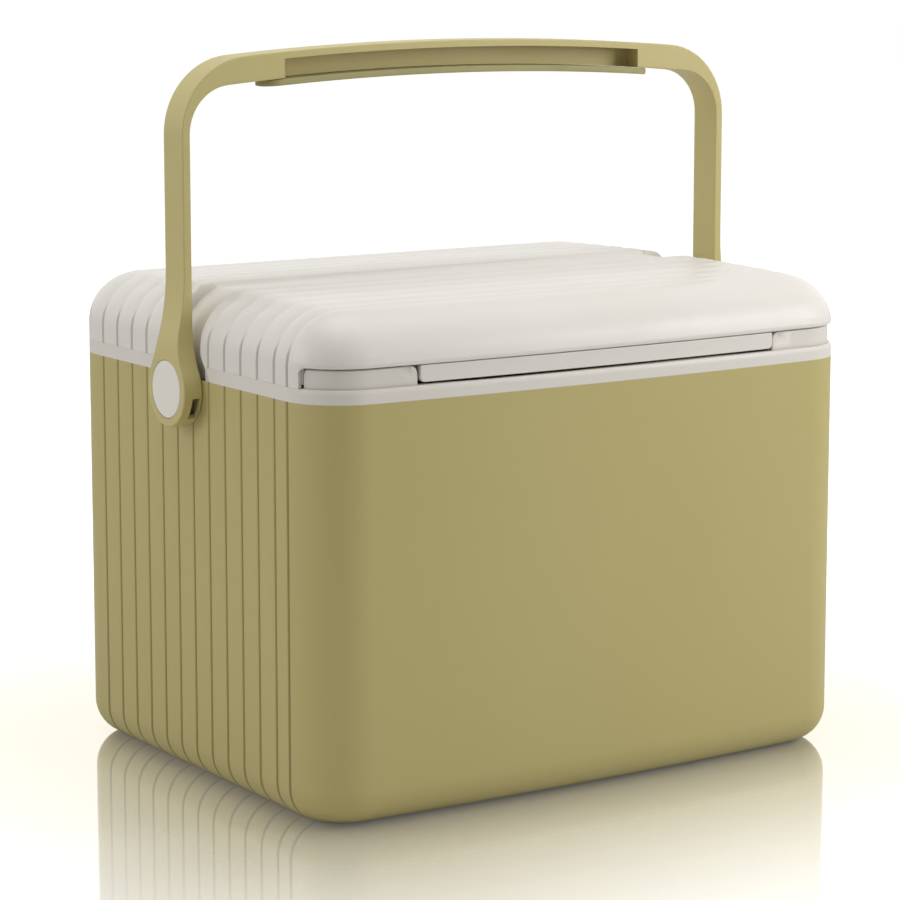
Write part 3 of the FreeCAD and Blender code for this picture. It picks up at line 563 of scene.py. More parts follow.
# crease_shade_tint and crease_shade_reach set the painted shade in each finish's creases; the lid's long reach
# paints shade into its side channels
FINISHES = {
    "olive_shell_plastic": MouldedPlastic("olive_shell_plastic", OLIVE, (0.456, 0.389, 0.158)),
    "olive_handle_plastic": MouldedPlastic("olive_handle_plastic", (0.535, 0.462, 0.200),
                                           (0.520, 0.447, 0.190), (0.36, 0.46),
                                           crease_shade_tint=(0.84, 0.82, 0.76), crease_shade_reach=0.0016),
    "olive_grip_rubber": SoftRubber("olive_grip_rubber", (0.345, 0.312, 0.145)),
    "offwhite_lid_plastic": MouldedPlastic("offwhite_lid_plastic", OFF_WHITE, (0.722, 0.692, 0.640),
                                           (0.30, 0.40), crease_shade_tint=(0.64, 0.62, 0.60),
                                           crease_shade_reach=0.0075),
    "offwhite_collar_plastic": MouldedPlastic("offwhite_collar_plastic", (0.700, 0.662, 0.606),
                                              (0.688, 0.650, 0.594), (0.34, 0.44),
                                              crease_shade_tint=(0.78, 0.76, 0.74)),
    "offwhite_panel_plastic": MouldedPlastic("offwhite_panel_plastic", (0.725, 0.698, 0.650),
                                             (0.712, 0.684, 0.634), (0.32, 0.42),
                                             crease_shade_tint=(0.78, 0.76, 0.74)),
    "white_liner_plastic": MouldedPlastic("white_liner_plastic", (0.80, 0.80, 0.79),
                                          (0.78, 0.78, 0.77), (0.28, 0.36), 700.0, 0.00003,
                                          (0.70, 0.70, 0.70)),
    "grey_cap_plastic": MouldedPlastic("grey_cap_plastic", (0.790, 0.755, 0.680), (0.775, 0.740, 0.665),
                                       (0.36, 0.46), crease_shade_tint=(0.78, 0.76, 0.74)),
    "black_nylon": MouldedPlastic("black_nylon", (0.030, 0.028, 0.026), (0.036, 0.034, 0.032),
                                  (0.42, 0.55), crease_shade_tint=(0.8, 0.8, 0.8)),
    "grey_gasket_rubber": SoftRubber("grey_gasket_rubber", (0.42, 0.42, 0.41)),
    "insulation_foam": FoamCore("insulation_foam", (0.80, 0.76, 0.60)),
    "pin_steel": TurnedSteel("pin_steel"),
    "washer_steel": TurnedSteel("washer_steel", (0.62, 0.62, 0.63)),
    "screw_steel": TurnedSteel("screw_steel", (0.50, 0.50, 0.52)),
}


class Finishes:
    """The materials, each built once, when a piece first asks for it."""

    made: dict[str, bpy.types.Material] = {}

    @classmethod
    def get(cls, slot: str) -> bpy.types.Material:
        """The material of a slot in the record."""
        if slot not in cls.made:
            cls.made[slot] = FINISHES[slot].build()
        return cls.made[slot]


def publish(form: Form, name: str, body: Body, slot: str, *nodes: str, wall: float = 0.0,
            sharp: float = 38.0) -> bpy.types.Object:
    """Finishes a form as a piece of the object.

    Args:
        form: The modelled mesh, in millimetres.
        name: The piece's name.
        body: The body it moves with.
        slot: The record's material slot it takes its finish from.
        *nodes: The CAD nodes that it stands for.
        wall: Thickness of its wall in millimetres, or 0 for a form that is closed already.
        sharp: The angle in degrees past which an edge shows as sharp.

    Returns:
        The finished object.
    """
    bmesh.ops.scale(form.bm, vec=(MM, MM, MM), verts=form.bm.verts[:])
    form.bm.normal_update()
    piece = as_object(form, name)
    form.bm.free()
    piece.data.materials.append(Finishes.get(slot))
    piece.data.shade_smooth()
    piece.data.set_sharp_from_angle(angle=math.radians(sharp))
    if wall:
        solid = piece.modifiers.new("wall", "SOLIDIFY")
        solid.thickness = wall * MM
        solid.offset = -1.0
        solid.use_even_offset = True
    even = piece.modifiers.new("even_shading", "WEIGHTED_NORMAL")
    even.keep_sharp = True
    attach(piece, body.value)
    if nodes:
        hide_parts(*nodes)
    LOG.info("%s: %d faces on %s", name, len(piece.data.polygons), body.value)
    return piece


@dataclass
class OuterShell:
    """The olive shell: rounded bottom, ribbed sides and a plain bowed front."""

    plan: Plan
    grooves: Grooves
    height: float = 214.5
    base_rounding: float = 19.0
    wall: float = 2.6
    reach: float = 146.0         # the grooves run in under the base as far as this
    offsets: tuple[float, ...] = (0.0, 0.45, 0.8, 1.15)

    def section(self, distance: float) -> float:
        """Depth of a groove at a distance from its middle."""
        return self.grooves.depth * (1 - smooth(0.3, 1.15, distance))

    def build(self) -> None:
        """Models the shell and puts it in place."""
        form = self.plan.prism(0, 0, self.height)
        form.bevel(lambda e: all(v.co.z < 0.01 for v in e.verts), self.base_rounding, 10)
        form.delete_faces(lambda f: f.calc_center_median().z > self.height - 0.01)
        for x in (self.reach, self.reach + 4):
            for sign in (-1, 1):
                form.slice((sign * x, 0, 0), (1, 0, 0), lambda f: f.calc_center_median().z < 1)
        self.grooves.score(form, 0, self.offsets)

        def press(place: Vector, normal: Vector) -> Vector:
            """Presses the grooves in, fading out under the base."""
            fade = smooth(self.reach, self.reach + 4, abs(place.x))
            return place - normal * self.section(self.grooves.distance(place.y, 0)) * fade

        form.reshape(press)
        publish(form, "outer_shell_moulding", Body.ROOT, "olive_shell_plastic", "outer_shell", wall=self.wall)


@dataclass(frozen=True)
class Hinges:
    """The two knuckled hinges behind the lid."""

    spacing: float = 190.0
    axis_y: float = 137.2
    axis_z: float = 226.0
    radius: float = 4.5
    lid_half: float = 11.0
    gap: float = 0.3
    collar_knuckle: float = 12.0
    drop: float = 215.7

    def spans(self, lid: bool) -> list[tuple[float, float]]:
        """X ranges of the lid's or the collar's knuckles."""
        found = []
        outer = self.lid_half + self.gap
        for side in Side:
            middle = side.value * self.spacing / 2
            if lid:
                found.append((middle - self.lid_half, middle + self.lid_half))
            else:
                found.append((middle - outer - self.collar_knuckle, middle - outer))
                found.append((middle + outer, middle + outer + self.collar_knuckle))
        return found

    def knuckle(self, span: tuple[float, float], low: Point, high: Point) -> Form:
        """A barrel with the block that carries it, its edges eased."""
        barrel = Form.rod(self.radius, (span[0], self.axis_y, self.axis_z), span[1], 48)
        block = Form.block((span[0], *low), (span[1], *high))
        knuckle = block.combine(barrel, Cut.JOIN)
        bore = Form.rod(2.02, (span[0] - 1, self.axis_y, self.axis_z), span[1] + 1, 32)
        return knuckle.combine(bore, Cut.REMOVE)


@dataclass
class RimCollar:
    """The off-white rim on top of the shell, with its raised front corners and hinge brackets."""

    plan: Plan
    channel: Channel
    hinges: Hinges
    low: float = 214.5
    top: float = 221.7
    front_edge: float = 3.2
    front_lean: float = 0.42     # how far in the eased edge goes for its height
    side_edge: float = 0.1
    curb_top: float = 231.4
    curb_inset: float = 2.2
    curb_wall: float = 4.0
    curb_corner: float = 4.6
    curb_back: float = -112.4
    curb_x: float = 112.3

    def curb(self) -> Form:
        """The raised corner at the right of the front."""
        form = self.plan.prism(self.curb_inset, self.top - 0.5, self.curb_top)
        inside = self.plan.prism(self.curb_inset + self.curb_wall, self.top - 2, self.curb_top + 2)
        form.combine(inside, Cut.REMOVE)
        form.keep_side((0, self.curb_back, 0), (0, 1, 0)).keep_side((self.curb_x, 0, 0), (-1, 0, 0))

        def end_top(edge: bmesh.types.BMEdge) -> bool:
            """Whether an edge runs across an end of the curb at its top."""
            ends = edge.verts
            across = (all(abs(v.co.x - self.curb_x) < 0.01 for v in ends)
                      or all(abs(v.co.y - self.curb_back) < 0.01 for v in ends))
            return across and all(v.co.z > self.curb_top - 0.01 for v in ends)

        form.bevel(end_top, self.curb_corner, 7)
        form.bevel(lambda e: e.is_manifold and e.calc_face_angle(0) > 0.7
                   and any(v.co.z > self.top + 0.5 for v in e.verts), 0.9, 4)
        return form

    def eased(self, place: Vector, normal: Vector) -> Vector:
        """Rounds the upper edge: fully at the front, hardly at the sides, where the lid meets it."""
        radius = mix(self.front_edge, self.side_edge, smooth(self.curb_back - 2, self.curb_back + 3, place.y))
        rise = place.z - (self.top - radius)
        if rise > 0:
            inward = radius - math.sqrt(max(0.0, radius ** 2 - min(rise, radius) ** 2))
            place -= Vector((normal.x, normal.y, 0)).normalized() * inward * self.front_lean
        return place

    def build(self) -> None:
        """Models the collar and puts it in place."""
        form = self.plan.prism(0, self.low, self.top)
        for drop in (0.03, 0.1, 0.2, 0.4, 0.7, 1.1, 1.7, 2.4, 3.2):
            form.slice((0, 0, self.top - drop), (0, 0, 1))
        for y in range(8):
            form.slice((0, self.curb_back - 3 + y, 0), (0, 1, 0))
        form.reshape(self.eased)
        cavity = rounded_block(145, 107, 24, self.low - 5, self.top + 5)
        form.combine(cavity, Cut.REMOVE)
        self.channel.score(form)
        form.reshape(lambda place, normal: self.channel.press(place) if abs(place.x) > 150 else place)
        hollow = self.plan.prism(6.4, self.low - 1, self.top - 2.6)
        form.combine(hollow, Cut.REMOVE)
        form.combine(self.curb().mirrored(), Cut.JOIN)
        for span in self.hinges.spans(lid=False):
            low = (self.plan.back - 3, self.hinges.drop)
            high = (self.hinges.axis_y + self.hinges.radius, self.top)
            knuckle = self.hinges.knuckle(span, low, high)
            post_low = (self.hinges.axis_y - self.hinges.radius, self.top - 1)
            post_high = (self.hinges.axis_y + self.hinges.radius, self.hinges.axis_z - 2.5)
            post = Form.block((span[0], *post_low), (span[1], *post_high))
            form.combine(knuckle.combine(post, Cut.JOIN), Cut.JOIN)
        publish(form, "rim_collar_moulding", Body.ROOT, "offwhite_collar_plastic", "rim_collar", sharp=32)


@dataclass
class LidCover:
    """The lid's outer moulding: crowned top, large roundings, ribs and a channel in each side."""

    plan: Plan
    grooves: Grooves
    channel: Channel
    hinges: Hinges
    low: float = 221.74
    top: float = 260.6
    crown: float = 3.6
    rounding: float = 29.0
    wall: float = 2.4
    step_y: float = -112.0
    step_z: float = 232.0
    step_corner: float = 3.4
    skip: float = 17.2
    offsets: tuple[float, ...] = (0.0, 0.4, 0.8, 1.2, 2.2, 3.6, 5.2)
    roll: float = 2.2
    roll_in: float = 1.2

    def section(self, distance: float, upward: float) -> float:
        """Depth of a groove: narrow on the sides and a wide soft valley on the top."""
        narrow = self.grooves.depth * (1 - smooth(0.3, 1.2, distance))
        wide = 0.85 * (1 - smooth(0.0, 5.2, distance))
        return mix(narrow, wide, smooth(0.2, 0.6, upward))

    def dome(self) -> Form:
        """The plain crowned block, open below."""
        form = self.plan.prism(0, self.low, self.top)
        form.bevel(lambda e: all(v.co.z > self.top - 0.01 for v in e.verts), self.rounding, 14)
        form.delete_faces(lambda f: f.calc_center_median().z < self.low + 0.01)
        half = self.plan.back + self.plan.bow
        start = self.top - self.rounding - self.crown

        def fall(place: Vector, normal: Vector) -> Vector:
            """Lowers the top towards the front and the back."""
            share = min(1.0, max(0.0, (place.z - start) / (self.top - start)))
            place.z -= self.crown * (place.y / half) ** 2 * share
            return place

        for y in range(-96, 97, 12):
            form.slice((0, y, 0), (0, 1, 0), lambda f: f.calc_center_median().z > self.top - 1)
        return form.reshape(fall)

    def notch(self, form: Form) -> None:
        """Cuts away the front of the skirt, which stands over the curbs and the pull bar."""
        centre = Vector((0, self.step_y - self.step_corner, self.step_z - self.step_corner))
        planes = [(Vector((0, self.step_y, 0)), Vector((0, 1, 0))), (Vector((0, 0, self.step_z)), Vector((0, 0, 1)))]
        for degrees in (15, 30, 45, 60, 75):
            away = Vector((0, math.cos(math.radians(degrees)), math.sin(math.radians(degrees))))
            planes.append((centre + away * self.step_corner, away))
        for point, normal in planes:
            form.slice(point, normal, lambda f: f.calc_center_median().y < -100
                       and f.calc_center_median().z < self.step_z + 6)
        form.delete_faces(lambda f: all((f.calc_center_median() - p).dot(n) < 0 for p, n in planes))

    def build(self) -> None:
        """Models the cover and puts it in place."""
        form = self.dome()
        self.grooves.score(form, self.skip, self.offsets)
        self.channel.score(form)
        for share in (0.12, 0.35, 0.65, 1.0):
            form.slice((0, 0, self.step_z + self.roll * share), (0, 0, 1),
                       lambda f: f.calc_center_median().y < -108)
        for z in (0.25, 0.7):
            form.slice((0, 0, self.low + z), (0, 0, 1))
        self.notch(form)

        def press(place: Vector, normal: Vector) -> Vector:
            """Presses in the grooves and the channels and rolls in the lower edges."""
            depth = self.section(self.grooves.distance(place.y, self.skip), normal.z)
            place = place - normal * depth
            flat = Vector((normal.x, normal.y, 0))
            if place.y < self.step_y + 1 and place.z < self.step_z + self.roll:
                share = (self.step_z + self.roll - place.z) / self.roll
                forward = smooth(self.step_y, self.step_y - 5, place.y)
                place -= flat * self.roll_in * forward * (1 - math.sqrt(max(0.0, 1 - min(1.0, share) ** 2)))
            elif place.z < self.low + 0.7:
                place -= flat * 0.12 * ((self.low + 0.7 - place.z) / 0.7) ** 2
            return self.channel.press(place)

        form.reshape(press)
        bmesh.ops.remove_doubles(form.bm, verts=form.bm.verts[:], dist=0.01)
        bmesh.ops.solidify(form.bm, geom=form.bm.faces[:], thickness=self.wall)
        form.tidy()
        for span in self.hinges.spans(lid=True):
            low = (self.plan.back - 1.2, self.low + 0.28)
            high = (self.hinges.axis_y, self.hinges.axis_z + self.hinges.radius)
            form.combine(self.hinges.knuckle(span, low, high), Cut.JOIN)
        publish(form, "lid_cover_moulding", Body.LID, "offwhite_lid_plastic", "lid_cover")


@dataclass
class InnerPanel:
    """The lid's underside: plate, plug, the riser behind the curbs and the pull bar in front."""

    plan: Plan
    bottom: float = 223.6
    wall: float = 2.2
    inset: float = 2.6
    step_inset: float = 7.4
    step_y: float = -111.8
    ledge: float = 232.2
    plug: tuple[float, float, float] = (143.8, 105.8, 22.8)
    plug_low: float = 210.7
    bar_half: float = 111.5
    bar_inset: float = 1.2
    bar_wall: float = 3.0
    bar_low: float = 223.0
    bar_top: float = 231.6
    channel_x: float = 163.6

    def sheet(self) -> Form:
        """The plate, its plug and the raised front."""
        plate_top = self.bottom + self.wall
        form = self.plan.prism(self.inset, self.bottom, plate_top).keep_side((0, self.step_y, 0), (0, -1, 0))
        form.combine(self.plan.prism(self.step_inset, self.bottom, plate_top), Cut.JOIN)
        front = self.plan.prism(self.inset, self.bottom, self.ledge + self.wall)
        front.keep_side((0, self.step_y + self.wall, 0), (0, 1, 0))
        gap = self.plan.prism(self.inset - 3, self.bottom - 1, self.ledge)
        gap.combine(self.plan.prism(self.step_inset, self.bottom - 2, self.ledge + 1), Cut.REMOVE)
        gap.keep_side((0, self.step_y, 0), (0, 1, 0))
        front.combine(gap, Cut.REMOVE)
        front.combine(self.plan.prism(self.step_inset + self.wall, plate_top, self.ledge + 9), Cut.REMOVE)
        form.combine(front, Cut.JOIN)
        half_x, half_y, radius = self.plug
        body = rounded_block(half_x, half_y, radius, self.plug_low, self.bottom + 1)
        body.bevel(lambda e: all(v.co.z < self.plug_low + 0.01 for v in e.verts), 2.0, 4)
        form.combine(body, Cut.JOIN)
        hollow = rounded_block(half_x - self.wall, half_y - self.wall, radius - self.wall,
                               self.plug_low + self.wall, self.ledge + 9)
        form.combine(hollow, Cut.REMOVE)
        for side in Side:
            ends = sorted((side.value * self.channel_x, side.value * 180))
            form.combine(Form.block((ends[0], -18.4, 200), (ends[1], 18.4, 250)), Cut.REMOVE)
        return form

    def bar(self) -> Form:
        """The pull bar across the front, its lower corners rounded."""
        form = self.plan.prism(self.bar_inset, self.bar_low, self.bar_top)
        inside = self.plan.prism(self.bar_inset + self.bar_wall, self.bar_low - 1, self.bar_top + 1)
        form.combine(inside, Cut.REMOVE)
        form.keep_side((0, -100, 0), (0, 1, 0))
        for side in Side:
            form.keep_side((side.value * self.bar_half, 0, 0), (side.value, 0, 0))
        form.bevel(lambda e: all(v.co.z < self.bar_low + 0.01 and abs(v.co.x) > self.bar_half - 0.01
                                 for v in e.verts), 2.6, 6)
        form.bevel(lambda e: e.is_manifold and e.calc_face_angle(0) > 0.7, 0.5, 3)
        neck = self.plan.prism(self.inset + 0.2, self.bar_top - 1, self.ledge + 0.5)
        neck.combine(self.plan.prism(self.bar_inset + self.bar_wall, 200, 250), Cut.REMOVE)
        neck.keep_side((0, -100, 0), (0, 1, 0))
        for side in Side:
            neck.keep_side((side.value * (self.bar_half - 1), 0, 0), (side.value, 0, 0))
        return form.combine(neck, Cut.JOIN)

    def build(self) -> None:
        """Models the panel and its bar and puts them in place."""
        publish(self.sheet(), "lid_underside_moulding", Body.LID, "offwhite_panel_plastic",
                "lid_inner_panel", sharp=32)
        publish(self.bar(), "pull_bar", Body.LID, "offwhite_panel_plastic", sharp=32)


@dataclass
class Bail:
    """The handle: two flat arms from round bosses up to an arched grip."""

    pivot: float = 208.6
    rise: float = 176.1
    inner_x: float = 170.3
    arm_x: float = 175.1
    boss_x: float = 181.0
    half: float = 10.1
    outer_knee: float = 40.0
    inner_knee: float = 25.0
    arch: float = 1700.0
    grip: float = 13.8
    recess_half: float = 114.2
    recess_top: float = 3.7
    recess_depth: float = 12.0
    boss: float = 19.5
    boss_rim: float = 2.4
    flare: float = 45.0
    ramp: tuple[float, float] = (21.0, 47.0)
    cap: float = 15.0
    web_x: float = 176.3
    hollow_x: float = 175.5
    pad: tuple[float, float, float] = (14.0, 17.5, 124.2)
    pad_end: float = 9.0
    window_arc: tuple[float, float] = (9.5, 47.0)

    @property
    def arch_z(self) -> float:
        """Level of the middle that the grip's arch turns about."""
        return self.pivot + self.rise - self.arch

    def front_form(self) -> Form:
        """The bail seen from the front, much deeper than its arms are wide."""
        axis = (0, 1, 0)
        low = self.pivot - self.boss - 1
        corner_x = self.arm_x - self.outer_knee
        corner_z = self.arch_z + math.sqrt((self.arch - self.outer_knee) ** 2 - corner_x ** 2)
        turn = math.degrees(math.atan2(corner_z - self.arch_z, corner_x))
        inner = self.arch - self.grip
        inside_x = self.inner_x - self.inner_knee
        inside_z = self.arch_z + math.sqrt((inner - self.inner_knee) ** 2 - inside_x ** 2)
        inside_turn = math.degrees(math.atan2(inside_z - self.arch_z, inside_x))
        pen = Pen((self.boss_x, -60, low))
        pen.line((self.boss_x, -60, self.pivot + self.ramp[0]))
        pen.line((self.arm_x, -60, self.pivot + self.ramp[1]))
        pen.line((self.arm_x, -60, corner_z))
        pen.arc((corner_x, -60, corner_z), axis, -turn, 14)
        pen.arc((0, -60, self.arch_z), axis, -2 * (90 - turn), 28)
        pen.arc((-corner_x, -60, corner_z), axis, -turn, 14)
        pen.line((-self.arm_x, -60, self.pivot + self.ramp[1]))
        pen.line((-self.boss_x, -60, self.pivot + self.ramp[0]))
        pen.line((-self.boss_x, -60, low))
        pen.line((-self.inner_x, -60, low))
        pen.line((-self.inner_x, -60, inside_z))
        pen.arc((-inside_x, -60, inside_z), axis, inside_turn, 14)
        pen.arc((0, -60, self.arch_z), axis, 2 * (90 - inside_turn), 28)
        pen.arc((inside_x, -60, inside_z), axis, inside_turn, 14)
        pen.line((self.inner_x, -60, low))
        pen.line((self.boss_x, -60, low))
        form = pen.close()
        for level, reach in ((self.pivot + self.ramp[0], 8.0), (self.pivot + self.ramp[1], 12.0)):
            corners = [v for v in form.bm.verts if abs(v.co.z - level) < 0.1]
            bmesh.ops.bevel(form.bm, geom=corners, offset=reach, segments=5, profile=0.5,
                            affect="VERTICES", material=-1)
        return form.extrude((0, 120, 0))

    def side_form(self) -> Form:
        """The bail seen from the side: round boss, flare and parallel arm."""
        axis = (1, 0, 0)
        flare_y = self.half + self.flare
        flare_z = math.sqrt((self.boss + self.flare) ** 2 - flare_y ** 2)
        turn = math.degrees(math.atan2(flare_z, flare_y))
        top = self.pivot + self.rise + 5
        pen = Pen((-FAR, -self.half, top))
        pen.line((-FAR, -self.half, self.pivot + flare_z))
        pen.arc((-FAR, -flare_y, self.pivot + flare_z), axis, -turn, 10)
        pen.arc((-FAR, 0, self.pivot), axis, 180 + 2 * turn, 48)
        pen.arc((-FAR, flare_y, self.pivot + flare_z), axis, -turn, 10)
        pen.line((-FAR, self.half, top))
        pen.line((-FAR, -self.half, top))
        return pen.close().extrude((2 * FAR, 0, 0))

    def band(self, top: float, bottom: float, half: float, low_y: float, high_y: float) -> Form:
        """A slice of the grip between two depths below its arched top."""
        lift = self.pivot + self.rise
        form = Form.block((-half, low_y, lift - bottom), (half, high_y, lift - top))
        for i in range(-23, 24):
            form.slice((half * i / 24, 0, 0), (1, 0, 0))
        return form

    def bend(self, form: Form) -> Form:
        """Bends a straight slice to the grip's arch."""
        return form.reshape(lambda place, normal: Vector(
            (place.x, place.y, place.z - self.arch + math.sqrt(self.arch ** 2 - place.x ** 2))))

    def window(self, side: Side) -> Form:
        """The curved slot through the front of a boss's rim."""
        x0 = self.inner_x + 1.2
        ring = Form.rod(self.boss + 1, (side.value * x0, 0, self.pivot), side.value * (x0 + 4.6))
        ring.combine(Form.rod(self.boss - self.boss_rim - 1, (side.value * (x0 - 1), 0, self.pivot),
                              side.value * (x0 + 7)), Cut.REMOVE)
        for degrees, sign in ((self.window_arc[0], -1), (self.window_arc[1], 1)):
            turn = math.radians(degrees)
            ring.keep_side((0, 0, self.pivot), (0, sign * math.sin(turn), -sign * math.cos(turn)))
        return ring.keep_side((0, -5, 0), (0, 1, 0))

    def build(self) -> None:
        """Models the bail and its pad and puts them in place."""
        form = self.front_form().combine(self.side_form(), Cut.KEEP)
        form.tidy(0.15)
        form.bevel(lambda e: e.is_manifold and e.calc_face_angle(0) > 0.6, 0.8, 3)
        recess = self.band(self.recess_top, self.grip + 2, self.recess_half, -self.half - 3,
                           self.recess_depth - self.half)
        recess.bevel(lambda e: e.calc_face_angle(0) > 0.7 and all(v.co.y > 0 for v in e.verts), 1.0, 3)
        form.combine(self.bend(recess), Cut.REMOVE)
        for side in Side:
            at = side.value
            hollow = Form.rod(self.boss - self.boss_rim, (at * (self.inner_x - 1), 0, self.pivot),
                              at * self.hollow_x)
            hollow.combine(Form.rod(11.0, (at * (self.inner_x - 2), 0, self.pivot), at * (self.hollow_x + 1)),
                           Cut.REMOVE)
            form.combine(hollow, Cut.REMOVE)
            form.combine(Form.rod(8.08, (at * (self.inner_x - 1), 0, self.pivot), at * 183), Cut.REMOVE)
            form.combine(Form.rod(self.cap + 0.25, (at * self.web_x, 0, self.pivot), at * 183), Cut.REMOVE)
            form.combine(self.window(side), Cut.REMOVE)
        publish(form, "bail_moulding", Body.HANDLE, "olive_handle_plastic", "handle_bail", sharp=32)
        self.grip_pad()

    def grip_pad(self) -> None:
        """Models the soft pad that closes the grip from below."""
        top, bottom, half = self.pad
        lift = self.pivot + self.rise
        pad = Form.block((-half, -self.half, lift - bottom), (half, self.half, lift - top))
        pad.bevel(lambda e: abs(e.verts[0].co.z - e.verts[1].co.z) > 1, self.pad_end, 10)
        pad.bevel(lambda e: e.calc_face_angle(0) > 0.7, 0.9, 4)
        for i in range(-18, 19):
            pad.slice((i * 6.2, 0, 0), (1, 0, 0))
        publish(self.bend(pad), "grip_pad_moulding", Body.HANDLE, "olive_grip_rubber", "handle_grip_pad")


@dataclass
class PivotCap:
    """A round cap in the outside of a boss, with an eased edge and a faintly domed face."""

    side: Side
    radius: float = 15.0
    inner_x: float = 176.5
    face_x: float = 181.15
    dome: float = 0.25
    pivot: float = 208.6

    def build(self) -> None:
        """Models the cap and puts it in place."""
        at = self.side.value
        form = Form.rod(self.radius, (at * self.inner_x, 0, self.pivot), at * self.face_x)
        form.bevel(lambda e: all(abs(v.co.x) > self.face_x - 0.01 for v in e.verts), 0.6, 4)
        flat = [f for f in form.bm.faces if abs(f.calc_center_median().x) > self.face_x - 0.01]
        for _ in range(7):
            bmesh.ops.inset_region(form.bm, faces=flat, thickness=1.9, use_even_offset=True)

        def swell(place: Vector, normal: Vector) -> Vector:
            """Lifts the middle of the face."""
            if abs(place.x) > self.face_x - 0.7:
                away = math.hypot(place.y, place.z - self.pivot) / self.radius
                place.x += at * self.dome * (1 - away ** 2)
            return place

        form.reshape(swell).tidy()
        name = self.side.name.lower()
        publish(form, f"pivot_cap_{name}_disc", Body.HANDLE, "grey_cap_plastic", f"pivot_cap_{name}")


class CarriedParts:
    """The CAD nodes whose shape is right already and which only need their finish."""

    slots = {
        "inner_liner": "white_liner_plastic",
        "body_insulation": "insulation_foam",
        "lid_insulation": "insulation_foam",
        "lid_gasket": "grey_gasket_rubber",
        "hinge_pin": "pin_steel",
        "pivot_hub": "black_nylon",
        "pivot_plate": "black_nylon",
        "pivot_washer": "washer_steel",
        "pivot_screw": "screw_steel",
    }

    def build(self) -> None:
        """Gives each carried node its material."""
        for name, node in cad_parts.items():
            slot = next((s for start, s in self.slots.items() if name.startswith(start)), None)
            if slot is None:
                continue
            node.data.materials.clear()
            node.data.materials.append(Finishes.get(slot))
            LOG.info("%s: kept, finished as %s", name, slot)


@dataclass(frozen=True)
class Softbox:
    """A large soft lamp that faces the box."""

    name: str
    place: tuple[float, float, float]
    size: tuple[float, float]
    power: float
    aim: tuple[float, float, float] = (0.0, 0.0, 0.15)

    def build(self) -> None:
        """Hangs the lamp."""
        lamp = bpy.data.lights.new(self.name, "AREA")
        lamp.shape = "RECTANGLE"
        lamp.size, lamp.size_y = self.size
        lamp.energy = self.power
        hung = bpy.data.objects.new(self.name, lamp)
        hung.location = self.place
        hung.rotation_mode = "QUATERNION"
        hung.visible_camera = False
        hung.rotation_quaternion = (Vector(self.aim) - Vector(self.place)).to_track_quat("-Z", "Y")
        bpy.context.scene.collection.objects.link(hung)


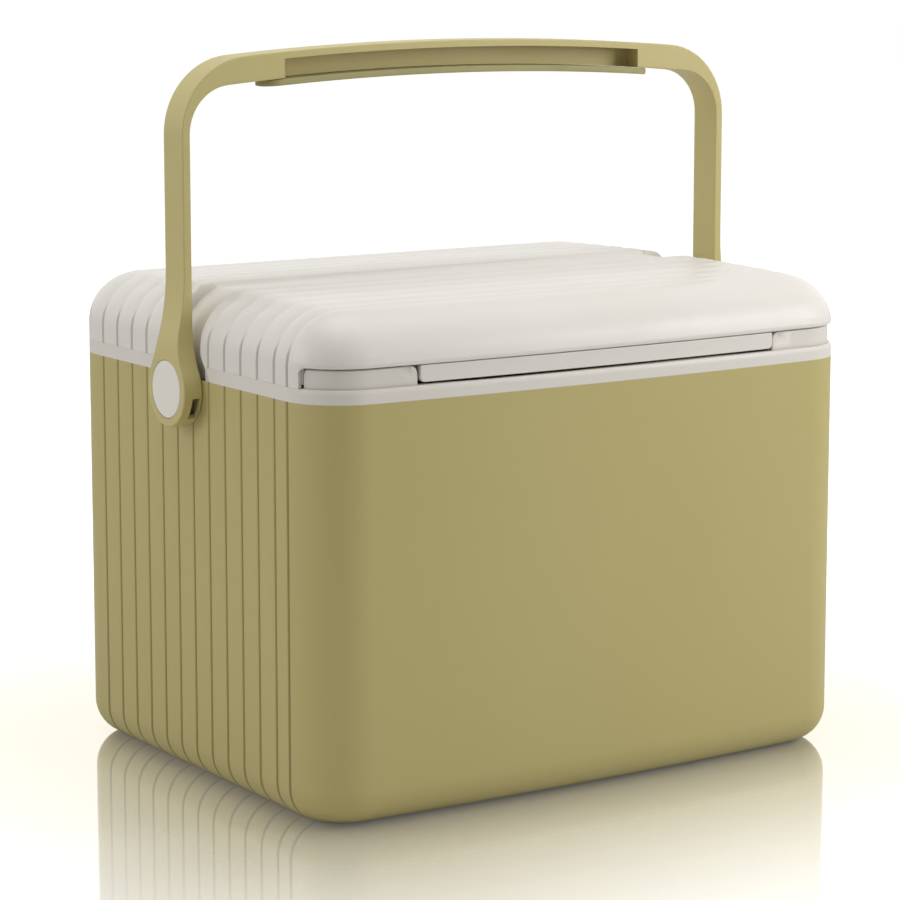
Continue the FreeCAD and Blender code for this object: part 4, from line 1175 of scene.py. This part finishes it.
@dataclass
class Studio:
    """The pale glossy floor, the soft light and the camera."""

    world: float = 0.38
    camera_place: tuple[float, float, float] = (-0.9259, -1.3850, 0.4441)
    camera_aim: tuple[float, float, float] = (0.54725, 0.82300, -0.15217)
    lens: float = 122.7
    shift: float = -0.0556
    lamps: tuple[Softbox, ...] = field(default_factory=lambda: (
        Softbox("front_softbox", (0.75, -0.75, 0.60), (0.5, 0.5), 5.6),
        Softbox("left_softbox", (-2.2, 0.9, 1.0), (1.2, 1.2), 14.0),
        Softbox("overhead_softbox", (0.0, 0.1, 2.6), (2.0, 2.0), 31.0),
    ))

    def floor(self) -> None:
        """Lays the floor."""
        bm = bmesh.new()
        bmesh.ops.create_circle(bm, cap_ends=True, segments=64, radius=60.0)
        mesh = bpy.data.meshes.new("studio_floor")
        bm.to_mesh(mesh)
        bm.free()
        laid = bpy.data.objects.new("studio_floor", mesh)
        bpy.context.scene.collection.objects.link(laid)
        mesh.materials.append(self.floor_finish())

    def floor_finish(self) -> bpy.types.Material:
        """White acrylic whose polish fades away from the box."""
        finish = Finish("studio_floor")
        finish.tree.nodes.remove(finish.shader)
        spot = finish.place
        for operation, operand in (("ABSOLUTE", None), ("SUBTRACT", (0.150, 0.112, 0)), ("MAXIMUM", (0, 0, 0))):
            step = finish.node("VectorMath", operation=operation)
            finish.link(spot, step.inputs[0])
            if operand:
                step.inputs[1].default_value = operand
            spot = step.outputs[0]
        away = finish.node("VectorMath", operation="LENGTH")
        finish.link(spot, away.inputs[0])
        seen = finish.node("LightPath").outputs["Is Camera Ray"]
        polish = finish.node("Math", operation="MULTIPLY")
        finish.link(finish.ranged(away.outputs["Value"], 0.84, 0.0, 0.02, 0.36), polish.inputs[0])
        finish.link(seen, polish.inputs[1])
        white = finish.node("BsdfDiffuse")
        white.inputs["Color"].default_value = (0.72, 0.72, 0.715, 1)
        glow = finish.node("Emission")
        lit = finish.node("Math", operation="MULTIPLY")
        finish.link(finish.ranged(away.outputs["Value"], 0.48, 0.74, 0.04, 0.45), lit.inputs[0])
        finish.link(seen, lit.inputs[1])
        finish.link(lit.outputs[0], glow.inputs["Strength"])
        base = finish.node("AddShader")
        finish.link(white.outputs[0], base.inputs[0])
        finish.link(glow.outputs[0], base.inputs[1])
        gloss = finish.node("BsdfAnisotropic")
        gloss.inputs["Roughness"].default_value = 0.05
        gloss.inputs["Color"].default_value = (1.0, 0.975, 0.84, 1)
        mixed = finish.node("MixShader")
        finish.link(polish.outputs[0], mixed.inputs[0])
        finish.link(base.outputs[0], mixed.inputs[1])
        finish.link(gloss.outputs[0], mixed.inputs[2])
        finish.link(mixed.outputs[0], finish.tree.nodes["Material Output"].inputs["Surface"])
        return finish.material

    def room(self) -> bpy.types.World:
        """An even pale room, which shows as white in polished surfaces."""
        world = bpy.data.worlds.new("soft_room")
        world.use_nodes = True
        tree = world.node_tree
        mirrored = tree.nodes.new("ShaderNodeLightPath").outputs["Is Glossy Ray"]
        strength = tree.nodes.new("ShaderNodeMapRange")
        strength.inputs["To Min"].default_value = self.world
        strength.inputs["To Max"].default_value = 1.0
        tree.links.new(mirrored, strength.inputs["Value"])
        tree.links.new(strength.outputs["Result"], tree.nodes["Background"].inputs["Strength"])
        tree.nodes["Background"].inputs["Color"].default_value = (1.0, 0.995, 0.985, 1)
        return world

    def build(self) -> None:
        """Sets the studio up."""
        self.floor()
        scene = bpy.context.scene
        scene.view_settings.view_transform = "Standard"
        scene.world = self.room()
        for lamp in self.lamps:
            lamp.build()
        camera = bpy.data.cameras.new("camera")
        camera.lens = self.lens
        camera.sensor_width = 36.0
        camera.shift_y = self.shift
        camera.clip_end = 200.0
        camera.dof.use_dof = False
        stand = bpy.data.objects.new("camera", camera)
        stand.location = self.camera_place
        stand.rotation_mode = "QUATERNION"
        stand.rotation_quaternion = Vector(self.camera_aim).to_track_quat("-Z", "Y")
        scene.collection.objects.link(stand)
        scene.camera = stand


def main() -> None:
    """Builds the object and its studio."""
    logging.basicConfig(level=logging.INFO, format="%(message)s")
    plan, grooves, channel, hinges = Plan(), Grooves(), Channel(), Hinges()
    OuterShell(plan, grooves).build()
    RimCollar(plan, channel, hinges).build()
    LidCover(plan, grooves, channel, hinges).build()
    InnerPanel(plan).build()
    Bail().build()
    for side in Side:
        PivotCap(side).build()
    CarriedParts().build()
    Studio().build()


if __name__ == "__main__":
    main()
